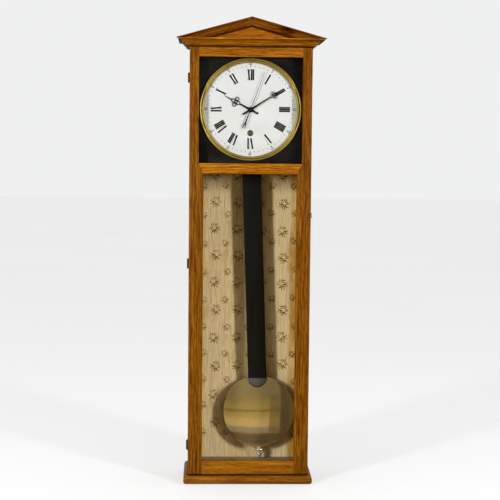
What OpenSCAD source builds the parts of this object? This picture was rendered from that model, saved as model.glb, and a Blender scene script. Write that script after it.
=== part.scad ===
// Wall regulator: tall glazed case, centre seconds movement and seconds pendulum.
// X is right, Y goes into the wall, Z is up, millimetres. Depths are counted from the door face.

/* [Case] */
// Width of the full length door
door_w = 372; // [330:1:430]
// Thickness of the door frame
door_t = 22; // [16:0.5:28]
// Width of the outer door stiles
stile_w = 28.5; // [22:0.5:40]
// Width of the inner strip round the lower glass
strip_w = 15; // [8:0.5:24]
// Height of the bottom door rail
bottom_rail_h = 44; // [30:1:70]
// Height of the rail between the two glasses
mid_rail_h = 31; // [24:1:50]
// Height of the top door rail
top_rail_h = 28.5; // [20:0.5:45]
// Clear height of the upper door opening
up_open = 322; // [280:1:360]
// Thickness of both panes
glass_t = 3; // [2:0.5:5]
// How far the panes sit inside the frame rebate
glass_lap = 5.5; // [4:0.5:9]
// Thickness of the case side boards
side_t = 16; // [12:1:24]
// Thickness of the board on the wall
backboard_t = 16; // [10:1:24]
// Thickness of the covered lining sheets
lining_t = 2; // [1:0.5:4]
// Thickness of the floor and top boards
board_t = 18; // [12:1:24]
// Thickness of the face frame behind the door
frame_t = 22; // [16:1:30]
// Gap between the door and whatever it shuts against
door_gap = 1; // [0.5:0.1:2]

/* [Plinth and Cornice] */
// Height of the base moulding
plinth_h = 26; // [18:1:40]
// How far the base moulding stands proud of the door
plinth_over = 13; // [8:1:24]
// Height of the level cornice moulding
cornice_h = 25; // [16:1:40]
// How far the cornice stands proud of the door
cornice_over = 40; // [26:1:55]
// Slope of the pediment in degrees
pediment_slope = 15.5; // [10:0.5:24]
// Thickness of the raking moulding measured square to its slope
raking_t = 27; // [18:1:32]
// How far the pediment panel sits behind the raking moulding
panel_set = 26; // [15:1:34]

/* [Dial] */
// Thickness of the black mask board
mask_t = 6; // [4:0.5:10]
// Gap between the bezel and the sides of the door opening
bezel_gap = 0.5; // [0:0.5:6]
// Width of the turned bezel seen from the front
bezel_w = 14.5; // [10:0.5:22]
// Depth of the bezel from its crown to the mask
bezel_depth = 9; // [6:0.5:11]
// Thickness of the dial plate
dial_t = 2; // [1:0.5:4]
// Radius of the brass bush round the winding hole
bush_r = 8.5; // [6:0.5:12]
// Length of the minute hand from its centre
minute_len = 116; // [95:1:130]
// Length of the hour hand from its centre
hour_len = 87; // [70:1:105]
// Length of the seconds hand from its centre
seconds_len = 123; // [100:1:135]
// Length of the seconds hand tail
seconds_tail = 60; // [40:1:62]
// Thickness of the hands
hand_t = 1.2; // [0.8:0.1:2]
// Clockwise angle of the hour hand from twelve
hour_turn = 297.6; // [0:0.1:360]
// Clockwise angle of the minute hand from twelve
minute_turn = 57.5; // [0:0.1:360]
// Clockwise angle of the seconds hand from twelve
seconds_turn = 20.3; // [0:0.1:360]

/* [Pendulum] */
// Distance from the suspension to the middle of the bob
pendulum_length = 998; // [800:1:1200]
// Radius of the lens shaped bob
bob_r = 115; // [90:1:125]
// Thickness of the bob at its middle
bob_t = 30; // [26:1:36]
// Thickness of the bob at its rim
bob_rim_t = 8; // [7:0.5:12]
// Clear height between the bob and the case floor
under_bob = 40; // [38:0.5:80]
// Width of the flat pendulum rod
rod_w = 58; // [30:1:64]
// Thickness of the pendulum rod
rod_t = 24; // [10:1:26]
// How far the rod end reaches below the rim of the bob
rod_lap = 32.5; // [20:0.5:60]
// Lean of the hanging pendulum to the right in degrees
pendulum_lean = 2.1; // [0:0.1:2.3]
// Clear depth between the bob and the back lining
back_clear = 16; // [6:1:30]
// Radius of the suspension rod screw under the bob
screw_r = 3; // [2:0.5:5]
// Radius of the knurled rating nut
nut_r = 13; // [8:0.5:18]

/* [Movement] */
// Half width of the movement plates
plate_half = 76; // [70:1:95]
// Thickness of the movement plates
plate_t = 3; // [2:0.5:5]
// Clear depth between the plates
plate_gap = 48; // [46:1:56]
// Tip radius of the escape wheel
escape_r = 30; // [27:0.5:32]
// Depth by which the pallets are set clear of the escape wheel
pallet_clear = 1.6; // [1.5:0.1:3]
// Drop of the winding arbor below the dial centre
winding_drop = 71.5; // [66:0.5:80]
// Module of the great wheel teeth
great_m = 0.9; // [0.8:0.05:1]
// Module of the second wheel teeth
second_m = 0.9; // [0.8:0.05:1]
// Module of the hour arbor wheel teeth
arbor_m = 0.65; // [0.55:0.05:0.7]
// Module of the third wheel teeth
third_m = 0.65; // [0.6:0.05:0.7]
// Module of the motion work teeth
motion_m = 0.55; // [0.5:0.05:0.65]
// Free play of each tooth pair along the pitch circle
tooth_play = 0.26; // [0.2:0.02:0.4]
// Running clearance of pivots and pipes, on the radius
run_fit = 0.1; // [0.05:0.01:0.2]
// Radius of the spring barrel
barrel_r = 36; // [30:1:38]

/* [Hidden] */
$fn = 96;
pivot_fn = 32;
eps = 0.01;
tiny_gap = 0.3;
pressure = 25;
no_turn = 0;
// Widths
door_half = door_w / 2;
sight_up = door_half - stile_w;
sight_low = sight_up - strip_w;
wall_out = door_half;
wall_in = wall_out - side_t;
lining_half = sight_low - 7.5;
plinth_half = door_half + plinth_over;
cornice_half = door_half + cornice_over;
// Heights
floor_top = plinth_h + board_t;
bob_z = floor_top + under_bob + bob_r;
pivot_z = bob_z + pendulum_length;
pallet_rise = escape_r * sqrt(2);
dial_z = pivot_z - pallet_rise;
dial_lift = 3;
up_bottom = dial_z - dial_lift - up_open / 2;
up_top = up_bottom + up_open;
low_top = up_bottom - mid_rail_h;
door_bottom = plinth_h + door_gap;
low_bottom = door_bottom + bottom_rail_h;
door_top = up_top + top_rail_h;
cornice_z = door_top + door_gap;
tip_z = cornice_z + cornice_h;
rise = cornice_half * tan(pediment_slope);
raking_h = raking_t / cos(pediment_slope);
apex_z = tip_z + rise;
// Depths counted from the door face
frame_d = door_t + door_gap;
frame_back = frame_d + frame_t;
mask_d = frame_d + 12;
mask_lap = 8;
glass_d = 12;
bead_back = door_t - 1;
dial_d = mask_d + 1;
bezel_d = mask_d - bezel_depth;
front_plate_d = 64;
front_back_d = front_plate_d + plate_t;
back_plate_d = front_back_d + plate_gap;
back_back_d = back_plate_d + plate_t;
crutch_d = back_back_d + 3;
crutch_t = 3;
pend_d = crutch_d + crutch_t + 2 + rod_t / 2;
lining_d = pend_d + bob_t / 2 + back_clear;
backboard_d = lining_d + lining_t;
wall_d = backboard_d + backboard_t;
mid_d = (wall_d - cornice_over) / 2;
// Dial radii
bezel_r = sight_up - bezel_gap;
dial_r = bezel_r - bezel_w;
mask_hole_r = dial_r + 5;
dial_edge_r = dial_r + 4;
dial_hole_r = 8.4;
// Wheel train: tooth counts and pitch radii
great_n = 96;
second_pin_n = 12;
second_n = 64;
hour_pin_n = 16;
hour_arbor_n = 96;
third_pin_n = 12;
third_n = 90;
escape_pin_n = 12;
motion_n = 36;
idler_n = 72;
idler_pin_n = 12;
hour_wheel_n = 72;
escape_n = 30;
function pitch_r(m, n) = m * n / 2;
gs_dist = pitch_r(great_m, great_n + second_pin_n);
sh_dist = pitch_r(second_m, second_n + hour_pin_n);
ht_dist = pitch_r(arbor_m, hour_arbor_n + third_pin_n);
te_dist = pitch_r(third_m, third_n + escape_pin_n);
idler_dist = pitch_r(motion_m, motion_n + idler_n);
hour_m = 2 * idler_dist / (idler_pin_n + hour_wheel_n);
// Arbor centres seen from the front, dial centre at zero
hour_arbor = [-38, -24];
barrel_at = [0, -winding_drop];
// Third corner of a triangle from two centres and two distances, on the left of the line p to q
function meet(p, q, rp, rq, side) =
    let (dx = q[0] - p[0], dz = q[1] - p[1], dist = sqrt(dx * dx + dz * dz),
         along = (rp * rp - rq * rq + dist * dist) / (2 * dist),
         off = side * sqrt(rp * rp - along * along))
    [p[0] + (along * dx - off * dz) / dist, p[1] + (along * dz + off * dx) / dist];
third_at = meet(hour_arbor, [0, 0], ht_dist, te_dist, 1);
second_at = meet(barrel_at, hour_arbor, gs_dist, sh_dist, 1);
idler_at = meet(hour_arbor, [0, 0], idler_dist, idler_dist, -1);
pallet_at = [0, pallet_rise];
function bearing(p, q) = atan2(q[1] - p[1], q[0] - p[0]);
// Rotation of wheel B so that it meshes with wheel A, whose tooth 0 stands at turn_a
function mesh_turn(pa, pb, na, nb, turn_a) =
    let (phi = bearing(pa, pb), u = (phi - turn_a) * na / 360)
    phi + 180 - 180 / nb + u * 360 / nb;
third_turn = mesh_turn([0, 0], third_at, escape_pin_n, third_n, no_turn);
hour_arbor_turn = mesh_turn(third_at, hour_arbor, third_pin_n, hour_arbor_n, no_turn);
second_turn = mesh_turn(hour_arbor, second_at, hour_pin_n, second_n, no_turn);
great_turn = mesh_turn(second_at, barrel_at, second_pin_n, great_n, no_turn);
idler_turn = mesh_turn(hour_arbor, idler_at, motion_n, idler_n, no_turn);
cannon_turn = mesh_turn(idler_at, [0, 0], idler_n, motion_n, idler_turn);
hour_wheel_turn = mesh_turn(idler_at, [0, 0], idler_pin_n, hour_wheel_n, no_turn);
// Depth planes of the wheels
great_d = front_back_d + 1.5;
wheel_t = 3;
thin_t = 2.5;
drum_d = great_d + wheel_t;
drum_t = 21;
drum_clear = 0.2;
pinion_over = 0.4;
escape_d = front_back_d + 7;
third_d = front_back_d + 21;
second_d = front_back_d + 29;
hour_arbor_d = front_back_d + 35;
motion_d = front_plate_d - 6;
motion_t = 2;
hour_wheel_d = front_plate_d - 10.5;
seconds_d = mask_d - 6.8;
minute_d = seconds_d + 2.4;
hour_d = minute_d + 2.4;
ratchet_d = front_plate_d - 3.4;
ratchet_t = 2.4;
ratchet_n = 24;
ratchet_r = 15;
arbor_r = 1.5;
square_w = 6;
barrel_arbor_r = 5;
pipe_in = 1.25 + 2 * run_fit;
seconds_arbor_r = 1.25;
pipe_out = 2.6;
cannon_out = 3.8;
hour_pipe_out = 5;
plate_low = -120;
plate_high = 60;
pillar_x = plate_half - 8;
pillar_r = 5;
// Hardware
hinge_h = 30;
hinge_leaf_t = 1.4;
leaf_start = 2.8;
leaf_len = 16;
knuckle_r = 2.6;
hinge_pin_r = 1.2;
hinge_x = -door_half - knuckle_r - 0.2;
hinge_d = door_t + door_gap / 2;
hinge_low = 0.069;
hinge_mid = 0.499;
hinge_high = 0.93;
hook_z = door_bottom + 0.61 * (door_top - door_bottom);
hook_lift = 14;
hook_x = door_half + 0.5;
hook_reach = 26;
hook_t = 2;
hook_half = 2.2;
hook_pin_r = 1.5;
hook_rise = hook_half + hook_pin_r + 0.3;
hook_pivot_d = frame_d + 13;
foot_r = 2.5;
dial_feet = [[-60, 46], [60, 46], [58, -96]];
minute_angle = 90 - minute_turn;
hour_angle = 90 - hour_turn;
seconds_angle = 90 - seconds_turn;
bob_swell = (bob_t - bob_rim_t) / 2;
bob_curve = (bob_r * bob_r + bob_swell * bob_swell) / (2 * bob_swell);
rod_end = pendulum_length - bob_r + rod_lap;
nut_top = pendulum_length + bob_r + 0.2;
nut_h = 33;
screw_below = 21;

// One node name or all

// Front view shape pushed back from depth d by t
module slab(d, t) {
    translate([0, d - mid_d + t, 0]) rotate([90, 0, 0]) linear_extrude(t) children();
}
// Moves front view shapes to a centre given from the dial centre
module from_dial(p) {
    translate([p[0], dial_z + p[1]]) children();
}
// Plain box by its left, front, bottom corner and sizes
module block(x, d, z, w, t, h) {
    translate([x, d - mid_d, z]) cube([w, t, h]);
}
// Round bar along the depth, centre given from the dial centre
module bar(p, r, d0, d1) {
    translate([p[0], d0 - mid_d, dial_z + p[1]]) rotate([-90, 0, 0])
        cylinder(r = r, h = d1 - d0, $fn = r > 6 ? 96 : pivot_fn);
}
// Turned body along the depth from [radius, depth] points
module turned(p, points) {
    translate([p[0], -mid_d, dial_z + p[1]]) rotate([-90, 0, 0])
        rotate_extrude() polygon(points);
}
// Box ring in the front view
module frame_2d(half_w, low, high, edge) {
    difference() {
        translate([-half_w, low]) square([2 * half_w, high - low]);
        translate([edge - half_w, low + edge]) square([2 * (half_w - edge), high - low - 2 * edge]);
    }
}
// Puts a shape drawn below the suspension point at the lean of the pendulum
module hang() {
    translate([0, 0, pivot_z]) rotate([0, -pendulum_lean, 0]) children();
}
// Front view shape of the pendulum, suspension at zero
module hang_slab(d, t) {
    hang() translate([0, d - mid_d + t, 0]) rotate([90, 0, 0]) linear_extrude(t) children();
}

// Involute of a pressure angle in degrees
function inv(a) = tan(a) * 180 / PI - a;
function flank(m, n, r) =
    let (rb = pitch_r(m, n) * cos(pressure), a = acos(min(1, rb / max(r, rb))))
    90 / n - tooth_play * 90 / (PI * pitch_r(m, n)) + inv(pressure) - inv(a);
function polar(r, a) = [r * cos(a), r * sin(a)];
// Tooth outline with straight roots below the base circle
function gear_points(m, n, turn) =
    let (r = pitch_r(m, n), low = r - 1.25 * m, foot = max(low + 0.1 * m, r * cos(pressure)),
         s1 = r - 0.25 * m, s2 = r + 0.4 * m, tip = r + 0.95 * m)
    [for (i = [0 : n - 1]) let (a = turn + i * 360 / n)
        for (q = [[low, -flank(m, n, foot)], [max(foot, s1), -flank(m, n, max(foot, s1))],
                  [s2, -flank(m, n, s2)], [tip, -flank(m, n, tip)], [tip, flank(m, n, tip)],
                  [s2, flank(m, n, s2)], [max(foot, s1), flank(m, n, max(foot, s1))],
                  [low, flank(m, n, foot)]])
            polar(q[0], a + q[1])];
// Solid toothed disc
module gear(m, n, turn) {
    polygon(gear_points(m, n, turn));
}
// Straight spokes left between a hub and a rim
module spokes(rim_in, hub_r, arms, arm_w, turn) {
    difference() {
        circle(rim_in);
        circle(hub_r, $fn = 48);
        for (i = [0 : arms - 1]) rotate(turn + i * 360 / arms)
            translate([0, -arm_w / 2]) square([rim_in + 1, arm_w]);
    }
}
// Toothed wheel with crossed out spokes
module crossed_wheel(m, n, turn, rim, hub_r, arms, arm_w) {
    difference() {
        gear(m, n, turn);
        spokes(pitch_r(m, n) - 1.25 * m - rim, hub_r, arms, arm_w, turn + 90 / n);
    }
}

// Case carcass
module plinth_board() {
    color("sienna") block(-wall_out, 0, 0, 2 * wall_out, wall_d, plinth_h);
}
// Bullnose section: depth out to the right, height up
module bullnose(reach) {
    nose = plinth_h / 2.6;
    translate([0, 0]) square([reach - nose, plinth_h]);
    translate([reach - nose, nose]) circle(nose);
    translate([reach - nose, nose]) square([nose, plinth_h - 2 * nose]);
    translate([reach - nose, plinth_h - nose]) circle(nose);
}
module plinth_front() {
    color("sienna") intersection() {
        translate([-plinth_half, -mid_d, 0]) rotate([90, 0, 90])
            linear_extrude(2 * plinth_half) mirror([1, 0]) bullnose(plinth_over);
        translate([0, -mid_d, 0]) linear_extrude(plinth_h)
            polygon([[-door_half, 0], [-plinth_half, -plinth_over],
                [plinth_half, -plinth_over], [door_half, 0]]);
    }
}
module plinth_side() {
    intersection() {
        translate([wall_out, wall_d - mid_d, 0]) rotate([90, 0, 0])
            linear_extrude(wall_d + plinth_over) bullnose(plinth_half - wall_out);
        translate([0, -mid_d, 0]) linear_extrude(plinth_h)
            polygon([[wall_out, 0], [plinth_half, -plinth_over],
                [plinth_half, wall_d], [wall_out, wall_d]]);
    }
}
module plinth_sides() {
    color("sienna") {
        plinth_side();
        mirror([1, 0, 0]) plinth_side();
    }
}
module side_right() {
    color("peru") block(wall_in, frame_back, plinth_h, side_t, backboard_d - frame_back,
        cornice_z - plinth_h);
}
module side_left() {
    color("peru") block(-wall_out, frame_back, plinth_h, side_t, backboard_d - frame_back,
        cornice_z - plinth_h);
}
// Back view recess for the hanger plate and a well behind its hole
hanger_z = cornice_z - 60;
hanger_t = 3;
hanger_hole_r = 5;
module backboard() {
    color("peru") difference() {
        block(-wall_out, backboard_d, plinth_h, 2 * wall_out, backboard_t, cornice_z - plinth_h);
        block(-30, wall_d - hanger_t, hanger_z - 25, 60, hanger_t + 1, 50);
        block(-12, wall_d - hanger_t - 9, hanger_z - 12, 24, 10, 24);
    }
}
module hanger_plate() {
    color("steelblue") translate([0, wall_d - mid_d, hanger_z]) rotate([90, 0, 0]) difference() {
        translate([-30, -25, 0]) cube([60, 50, hanger_t]);
        translate([0, 0, -1]) cylinder(r = hanger_hole_r, h = hanger_t + 2, $fn = 48);
        for (s = [-1, 1]) translate([s * 22, 0, -1]) cylinder(r = 2.2, h = hanger_t + 2, $fn = 32);
    }
}
module floor_board() {
    color("tan") block(-wall_in, frame_back, plinth_h, 2 * wall_in, backboard_d - frame_back, board_t);
}
module top_board() {
    color("tan") block(-wall_in, frame_back, cornice_z - board_t, 2 * wall_in,
        backboard_d - frame_back, board_t);
}
// Face frame behind the door: two posts with three rails between them
frame_half = sight_up + mask_lap;
frame_low_h = 32;
frame_mid_low = low_top - 2;
stop_w = 16;
stop_t = 4;
module face_posts() {
    color("peru") for (x = [-door_half, frame_half]) block(x, frame_d, plinth_h,
        door_half - frame_half, frame_t, cornice_z - plinth_h);
}
module rail(low, high) {
    block(-frame_half, frame_d, low, 2 * frame_half, frame_t, high - low);
}
module face_rails() {
    color("peru") {
        rail(plinth_h, plinth_h + frame_low_h);
        rail(frame_mid_low, up_bottom - mask_lap);
        rail(up_top + mask_lap, cornice_z);
    }
}
// Upright strips on the posts that the mask board is screwed against
module mask_stops() {
    color("peru") for (x = [-frame_half, frame_half - stop_w]) block(x, mask_d + mask_t,
        up_bottom - mask_lap, stop_w, stop_t, up_open + 2 * mask_lap);
}
module back_lining() {
    color("wheat") difference() {
        block(-lining_half, lining_d, floor_top, 2 * lining_half, lining_t,
            cornice_z - board_t - floor_top);
        block(-bracket_foot, lining_d - 1, pivot_z - 16, 2 * bracket_foot, lining_t + 2, 62);
        for (s = [-1, 1]) block(s * pillar_x - seat_w / 2, lining_d - 1, seat_z - seat_foot,
            seat_w, lining_t + 2, seat_foot + seat_h);
    }
}
module lining_margins() {
    color("burlywood") for (x = [-wall_in, lining_half])
        block(x, lining_d, floor_top, wall_in - lining_half, lining_t, cornice_z - board_t - floor_top);
}

// Level cornice section: out to the right, up; hollow above a round
module cornice_section(inner) {
    polygon(concat([[inner, 0], [door_half + 2, 0], [door_half + 2, 1.5]],
        [for (a = [0 : 15 : 90]) [door_half + 2 + 13 * sin(a), 1.5 + 9.5 * (1 - cos(a))]],
        [for (a = [0 : 15 : 90]) [door_half + 19 + 12 * (1 - cos(a)), 11 + 9.5 * sin(a)]],
        [[cornice_half - 5, 20.5], [cornice_half - 5, cornice_h], [inner, cornice_h]]));
}
module cornice_side() {
    intersection() {
        translate([0, wall_d - mid_d, cornice_z]) rotate([90, 0, 0])
            linear_extrude(wall_d + cornice_over) cornice_section(wall_in);
        translate([0, -mid_d, cornice_z]) linear_extrude(cornice_h)
            polygon([[wall_in, door_half - wall_in], [cornice_half, -cornice_over],
                [cornice_half, wall_d], [wall_in, wall_d]]);
    }
}
module cornice_sides() {
    color("saddlebrown") {
        cornice_side();
        mirror([1, 0, 0]) cornice_side();
    }
}
module cornice_front() {
    color("saddlebrown") intersection() {
        translate([-cornice_half, door_half - mid_d, cornice_z]) rotate([90, 0, 90])
            linear_extrude(2 * cornice_half) mirror([1, 0]) cornice_section(wall_in);
        translate([0, -mid_d, cornice_z]) linear_extrude(cornice_h)
            polygon([[-wall_in, door_half - wall_in], [-cornice_half, -cornice_over],
                [cornice_half, -cornice_over], [wall_in, door_half - wall_in]]);
    }
}
// Pediment: sloping moulding section is out to the front and down from its top edge
panel_d = panel_set - cornice_over;
module pediment_panel() {
    color("sienna") slab(panel_d, 12)
        polygon([[-rise_run(raking_h), tip_z], [rise_run(raking_h), tip_z], [0, apex_z - raking_h]]);
}
// Half width of the panel under the raking moulding
function rise_run(drop) = (rise - drop) / tan(pediment_slope);
module raking_section() {
    tall = raking_t / 27;
    scale([1, tall]) polygon(concat([[panel_set + 12, 0], [0, 0], [0, -3], [3.5, -3.2]],
        [for (a = [0 : 15 : 90]) [3.5 + 12 * sin(a), -3.2 - 11.8 * (1 - cos(a))]],
        [for (a = [0 : 15 : 90]) [16.5 + 6.5 * (1 - cos(a)), -16 - 8 * sin(a)]],
        [[23, -27], [panel_set + 12, -27]]));
}
module raking_right() {
    color("saddlebrown") difference() {
        intersection() {
            translate([0, -cornice_over - mid_d, apex_z]) rotate([0, pediment_slope, 0])
                translate([-60, 0, 0]) rotate([90, 0, 90])
                    linear_extrude(cornice_half / cos(pediment_slope) + 80) raking_section();
            block(0, -cornice_over - 5, tip_z - 3, cornice_half, panel_set + 30, rise + 30);
        }
        block(-1, -cornice_over - 6, tip_z - 60, cornice_half + 2, panel_set + 40, 60);
    }
}
module raking_left() {
    color("saddlebrown") mirror([1, 0, 0]) raking_right();
}
roof_t = 8;
roof_d = panel_d + 12;
module roof_half() {
    slab(roof_d, wall_d - roof_d) polygon([[0, apex_z], [cornice_half - 5, apex_z - roof_drop()],
        [cornice_half - 5, tip_z], [(rise - roof_t / cos(pediment_slope)) / tan(pediment_slope), tip_z],
        [0, apex_z - roof_t / cos(pediment_slope)]]);
}
function roof_drop() = (cornice_half - 5) * tan(pediment_slope);
module roof_boards() {
    color("peru") {
        roof_half();
        mirror([1, 0, 0]) roof_half();
    }
}
// Board that closes the pediment against the wall
module gable_back() {
    low = apex_z - roof_t / cos(pediment_slope);
    run = (low - tip_z) / tan(pediment_slope);
    color("peru") slab(wall_d - 12, 12) polygon([[-wall_in, cornice_z], [wall_in, cornice_z],
        [wall_in, tip_z], [run, tip_z], [0, low], [-run, tip_z], [-wall_in, tip_z]]);
}

// Mask, bezel and dial
module dial_mask() {
    color("black") slab(mask_d, mask_t) difference() {
        translate([-sight_up - mask_lap + tiny_gap, up_bottom - mask_lap + tiny_gap])
            square([2 * (sight_up + mask_lap - tiny_gap), up_open + 2 * (mask_lap - tiny_gap)]);
        translate([0, dial_z]) circle(mask_hole_r);
    }
}
// Bezel section from the dial outwards: lip, crown bead, hollow and rounded rim
module bezel() {
    crown = bezel_d;
    color("goldenrod") turned([0, 0], [[dial_r, mask_d + 0.8], [dial_r, crown + 4],
        [dial_r + 0.8, crown + 3.2], [dial_r + 1.6, crown + 2.8], [dial_r + 1.6, crown + 1.6],
        [dial_r + 2.6, crown + 0.5], [dial_r + 4, crown], [dial_r + 5.6, crown + 0.1],
        [dial_r + 7, crown + 0.8], [dial_r + 7.6, crown + 1.8], [dial_r + 8.6, crown + 2.6],
        [dial_r + 9.4, crown + 2.2], [dial_r + 10.8, crown + 1.7], [dial_r + 12.4, crown + 1.9],
        [dial_r + 13.6, crown + 2.8], [bezel_r, crown + 4.6], [bezel_r, mask_d],
        [mask_hole_r - tiny_gap, mask_d], [mask_hole_r - tiny_gap, mask_d + 0.8]]);
}
module dial() {
    color("white") difference() {
        union() {
            bar([0, 0], dial_edge_r, dial_d, dial_d + dial_t);
            for (p = dial_feet) bar(p, foot_r, dial_d + dial_t, front_plate_d);
        }
        bar([0, 0], dial_hole_r, dial_d - 1, dial_d + dial_t + 1);
        bar(barrel_at, bush_r, dial_d - 1, dial_d + dial_t + 1);
    }
}
module winding_bush() {
    color("goldenrod") turned(barrel_at, [[bush_r - 2.6, dial_d - 0.6], [bush_r - 1.4, dial_d - 1],
        [bush_r + 0.8, dial_d - 0.6], [bush_r + 0.8, dial_d], [bush_r, dial_d], [bush_r, dial_d + dial_t + 1],
        [bush_r - 2.6, dial_d + dial_t + 1]]);
}
// Movement plates with a running hole for each pivot
module plate_2d() {
    corner = 8;
    difference() {
        translate([-plate_half, plate_low]) square([2 * plate_half, plate_high - plate_low]);
        for (sx = [-1, 1], z = [plate_low, plate_high])
            translate([sx * plate_half, z]) rotate(45) square(corner * sqrt(2), center = true);
    }
}
module pivot_hole(p, r, d0, t) {
    bar(p, r + run_fit, d0 - 1, d0 + t + 1);
}
module front_plate() {
    color("goldenrod") difference() {
        slab(front_plate_d, plate_t) from_dial([0, 0]) plate_2d();
        pivot_hole([0, 0], pipe_in - run_fit, front_plate_d, plate_t);
        pivot_hole(barrel_at, barrel_arbor_r, front_plate_d, plate_t);
        pivot_hole(hour_arbor, arbor_r, front_plate_d, plate_t);
        for (p = [second_at, third_at, pallet_at]) pivot_hole(p, 1, front_plate_d, plate_t);
    }
    // Fixed pipe that carries the motion work round the seconds arbor, and two studs
    color("goldenrod") difference() {
        bar([0, 0], pipe_out, minute_d + 1.5, front_plate_d);
        bar([0, 0], pipe_in, minute_d - 1, front_plate_d + 1);
    }
    color("goldenrod") bar(idler_at, 1.5, hour_wheel_d - 3, front_plate_d);
    color("goldenrod") bar(click_at, 2, ratchet_d - 1, front_plate_d);
}
module back_plate() {
    color("goldenrod") difference() {
        slab(back_plate_d, plate_t) from_dial([0, 0]) plate_2d();
        for (p = [[0, 0], second_at, third_at, hour_arbor]) pivot_hole(p, 1, back_plate_d, plate_t);
        pivot_hole(pallet_at, arbor_r, back_plate_d, plate_t);
        pivot_hole(barrel_at, 3.5, back_plate_d, plate_t);
    }
}
module pillars() {
    waist = pillar_r - 1.6;
    color("gold") for (sx = [-1, 1], z = [plate_low + 9, plate_high - 9])
        turned([sx * pillar_x, z], [[0, front_back_d], [pillar_r, front_back_d], [pillar_r, front_back_d + 4],
            [waist, front_back_d + 7], [pillar_r - 0.6, front_back_d + plate_gap / 2],
            [waist, back_plate_d - 7], [pillar_r, back_plate_d - 4], [pillar_r, back_plate_d], [0, back_plate_d]]);
}
// Iron seats under the plates, reaching back to the backboard
seat_w = 14;
seat_h = 10;
seat_foot = 40;
seat_z = dial_z + plate_low - seat_h;
module seat_brackets() {
    color("dimgray") for (s = [-1, 1]) translate([s * pillar_x - seat_w / 2, 0, 0]) {
        block(0, front_plate_d, seat_z, seat_w, backboard_d - front_plate_d, seat_h);
        block(0, backboard_d - 8, seat_z - seat_foot, seat_w, 8, seat_foot + 1);
    }
}
// Cast bracket with a slit that takes the suspension spring
bracket_foot = 20;
bracket_low = 5;
chop_half = 8;
slit_w = 1.4;
spring_up = 9;
module suspension_bracket() {
    color("dimgray") difference() {
        union() {
            block(-bracket_foot, backboard_d - 7, pivot_z - 14, 2 * bracket_foot, 7, 58);
            block(-10, pend_d - 11, pivot_z + bracket_low, 20, backboard_d - pend_d + 6, 18);
        }
        block(-slit_w / 2, pend_d - 8, pivot_z + bracket_low - 1, slit_w, 16, spring_up + 2 - bracket_low + 1);
    }
}
// Winding ratchet, click and its spring
click_at = [barrel_at[0] + 24, barrel_at[1] + 14];
click_len = 15.2;
click_lift = 4;
function ratchet_points(n, r, depth) = [for (i = [0 : n - 1])
    for (q = [[r - depth, 0.08], [r, 0.12]]) polar(q[0], (i + q[1]) * 360 / n)];
module ratchet_2d() {
    polygon(ratchet_points(ratchet_n, ratchet_r, 2.4));
}
module winding_arbor() {
    color("silver") difference() {
        union() {
            slab(ratchet_d, ratchet_t) from_dial(barrel_at) ratchet_2d();
            bar(barrel_at, barrel_arbor_r, ratchet_d, drum_d + drum_t - 3);
            bar(barrel_at, 3.5, drum_d + drum_t - 3, back_back_d - 0.5);
            bar(barrel_at, barrel_arbor_r - 0.6, ratchet_d - 4, ratchet_d);
            slab(dial_d + dial_t + 0.5, ratchet_d - dial_d - dial_t - 0.5) from_dial(barrel_at)
                square(square_w, center = true);
        }
    }
}
module click() {
    // Pawl lying along the ratchet, lifted just clear of its teeth
    tip = bearing(click_at, barrel_at) - 51;
    color("silver") slab(ratchet_d, ratchet_t) from_dial(click_at) difference() {
        union() {
            circle(4.2, $fn = 48);
            rotate(tip) polygon([[0, -4.2], [click_len - 4, -1.4], [click_len, -1.6],
                [click_len - 0.6, 1.2], [0, 4.2]]);
            rotate(tip + 180) translate([0, -2]) square([7, 4]);
        }
        circle(2 + run_fit, $fn = 48);
    }
}
module click_spring() {
    color("steelblue") slab(ratchet_d + 0.4, 1.6) from_dial([0, 0]) polygon([
        [click_at[0] + 9, click_at[1] + 18], [click_at[0] + 14, click_at[1] + 18],
        [click_at[0] + 14, click_at[1] - 14], [click_at[0] + 13.2, click_at[1] - 14],
        [click_at[0] + 12.6, click_at[1] + 11], [click_at[0] + 9, click_at[1] + 11]]);
    color("steelblue") slab(ratchet_d + 2, front_plate_d - ratchet_d - 2) from_dial([0, 0])
        translate([click_at[0] + 9, click_at[1] + 12]) square([5, 5]);
}

// Going train
module barrel() {
    wall = 2;
    color("goldenrod") difference() {
        union() {
            slab(great_d, wheel_t) from_dial(barrel_at) gear(great_m, great_n, great_turn);
            bar(barrel_at, barrel_r, drum_d, drum_d + drum_t);
        }
        bar(barrel_at, barrel_r - wall, drum_d, drum_d + drum_t - wall);
        bar(barrel_at, barrel_arbor_r + run_fit, great_d - 1, drum_d + 1);
        bar(barrel_at, 3.5 + run_fit + 0.4, drum_d + drum_t - wall - 1, drum_d + drum_t + 1);
    }
}
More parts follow.
